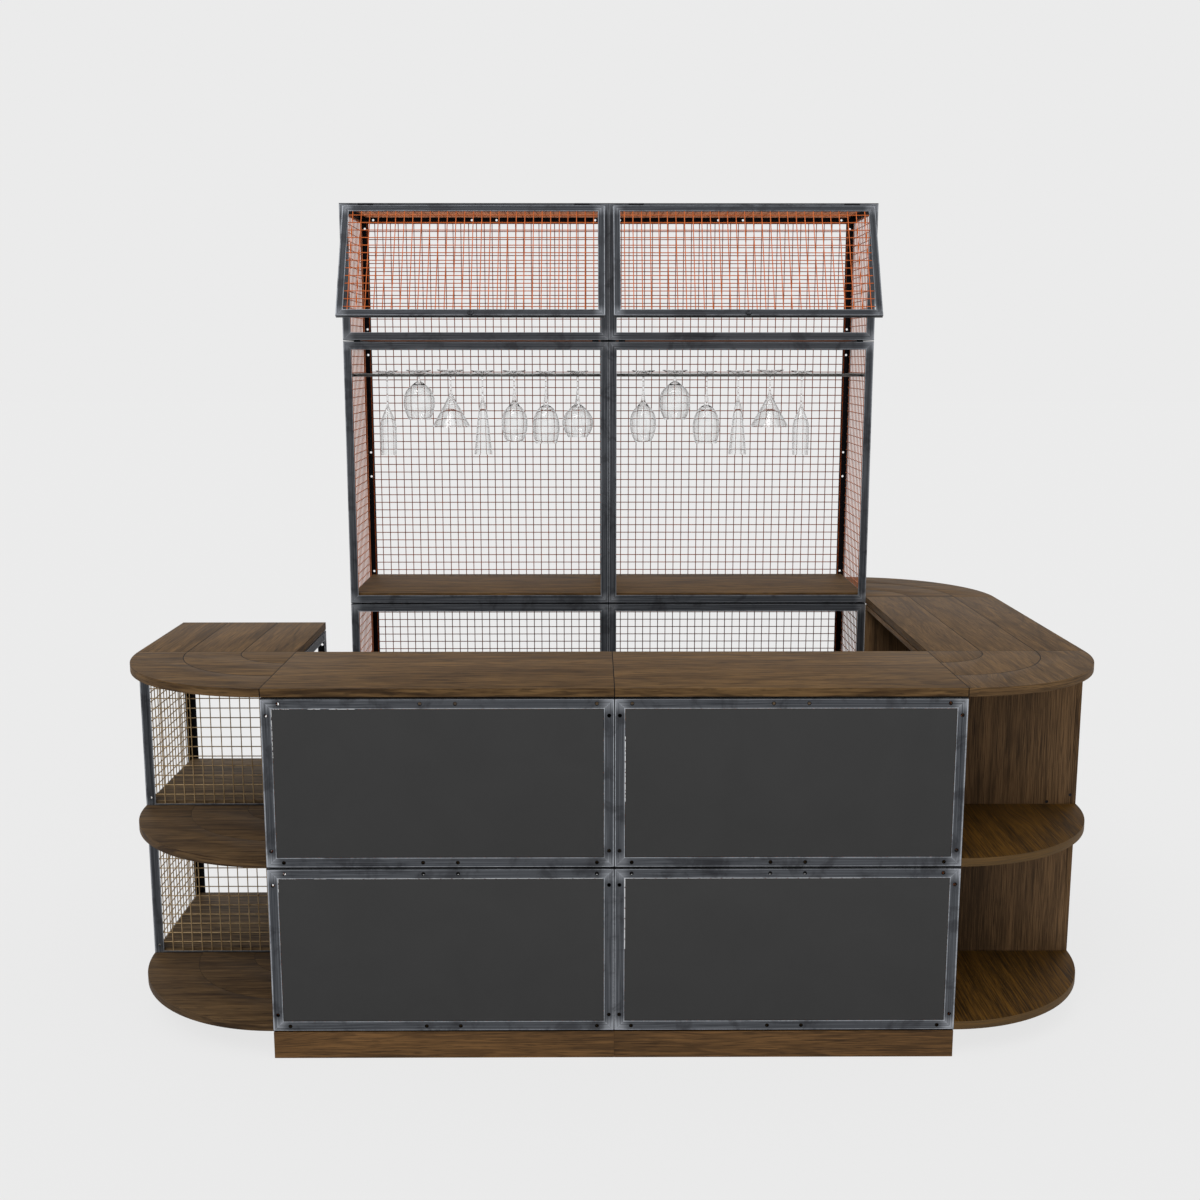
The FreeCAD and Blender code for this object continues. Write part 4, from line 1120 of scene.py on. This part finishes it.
def dress_fittings():
    smooth_copy("rack_rods", "rack_round_rods", RACK_STEEL)
    smooth_copy("rack_side_bars", "rack_flat_bars", RACK_STEEL)
    smooth_copy("joining_bolts", "bolts_and_nuts", BLACK_STEEL)
    smooth_copy("stacking_buffers", "rubber_buffers", RUBBER)
    smooth_copy("hinge_fixed_leaves", "hinge_rail_leaves", HINGE_STEEL)
    smooth_copy("hinge_pins", "hinge_round_pins", HINGE_STEEL)


PAGE = srgb(235, 235, 235)
FLOOR_TONE = srgb(231, 231, 231)
PAGE_SHARE = 0.9
FLOOR_HALF = 60.0
SKY_STRENGTH = 0.45


def looked_at(tree):
    """1 where the camera, gloss or glass looks at a surface, 0 where light is gathered from it."""
    path = tree.add("ShaderNodeLightPath").outputs
    seen = tree.math("MAXIMUM", path["Is Camera Ray"], path["Is Glossy Ray"])
    return tree.math("MAXIMUM", seen, path["Is Transmission Ray"])


def make_floor():
    """A pale floor that takes the page's colour and keeps a faint shadow."""
    mesh = bmesh.new()
    signs = ((-1, -1), (1, -1), (1, 1), (-1, 1))
    mesh.faces.new([mesh.verts.new((x * FLOOR_HALF, y * FLOOR_HALF, 0)) for x, y in signs])
    floor = in_scene("floor", from_bmesh(mesh))
    material, tree, shader = new_material("pale_floor")
    shader["Base Color"].default_value = FLOOR_TONE
    shader["Roughness"].default_value = 1.0
    shader["Specular IOR Level"].default_value = 0.0
    page = tree.add("ShaderNodeEmission", {"Color": PAGE, "Strength": 1.0}).outputs[0]
    lit = tree.tree.nodes["Principled BSDF"].outputs[0]
    share = tree.times(looked_at(tree), PAGE_SHARE)
    both = tree.add("ShaderNodeMixShader", {0: share, 1: lit, 2: page})
    tree.link(both.outputs[0], tree.tree.nodes["Material Output"].inputs[0])
    floor.data.materials.append(material)


def make_sky():
    """Plain pale surroundings: soft light, and the page's colour where camera, gloss or glass look."""
    world = bpy.data.worlds.new("surroundings")
    bpy.context.scene.world = world
    world.use_nodes = True
    tree = Tree(world.node_tree)
    light = tree.add("ShaderNodeBackground", {"Color": (1, 1, 1, 1), "Strength": SKY_STRENGTH})
    page = tree.add("ShaderNodeBackground", {"Color": PAGE, "Strength": 1.0})
    both = tree.add("ShaderNodeMixShader", {0: looked_at(tree), 1: light.outputs[0], 2: page.outputs[0]})
    tree.link(both.outputs[0], world.node_tree.nodes["World Output"].inputs[0])


# Soft lamps: strength, height angle, side angle (0 is from the front) and spread in degrees.
LAMPS = {
    "key": (1.15, 52, -28, 35),
    "fill": (0.45, 38, 48, 60),
    "top": (0.75, 88, 0, 110),
}


def make_lamps():
    for name, (strength, up, side, spread) in LAMPS.items():
        lamp = bpy.data.lights.new(name, "SUN")
        lamp.energy = strength
        lamp.angle = math.radians(spread)
        in_scene(name, lamp).rotation_euler = (math.radians(90 - up), 0, math.radians(side))


# The photograph's view: place, tilt down and turn in degrees, focal length and sensor in millimetres.
CAMERA_PLACE = (-0.0615, -4.8489, 2.0372)
CAMERA_TILT = 9.851
CAMERA_TURN = -0.304
CAMERA_LENS = 41.977
CAMERA_SENSOR = 36.0
CAMERA_REACH = 200.0


def make_camera():
    lens = bpy.data.cameras.new("view")
    lens.lens = CAMERA_LENS
    lens.sensor_width = CAMERA_SENSOR
    lens.clip_end = CAMERA_REACH
    camera = in_scene("view", lens)
    camera.location = CAMERA_PLACE
    camera.rotation_euler = (math.radians(90 - CAMERA_TILT), 0, math.radians(CAMERA_TURN))
    bpy.context.scene.camera = camera


make_tops()
make_floors()
make_plinths()
make_cabinets()
make_panels()
make_wire_sheets()
dress_frames()
make_glasses()
make_catches()
make_screws()
make_strips()
dress_fittings()
make_floor()
make_sky()
make_lamps()
make_camera()
bpy.context.scene.view_settings.view_transform = "Standard"
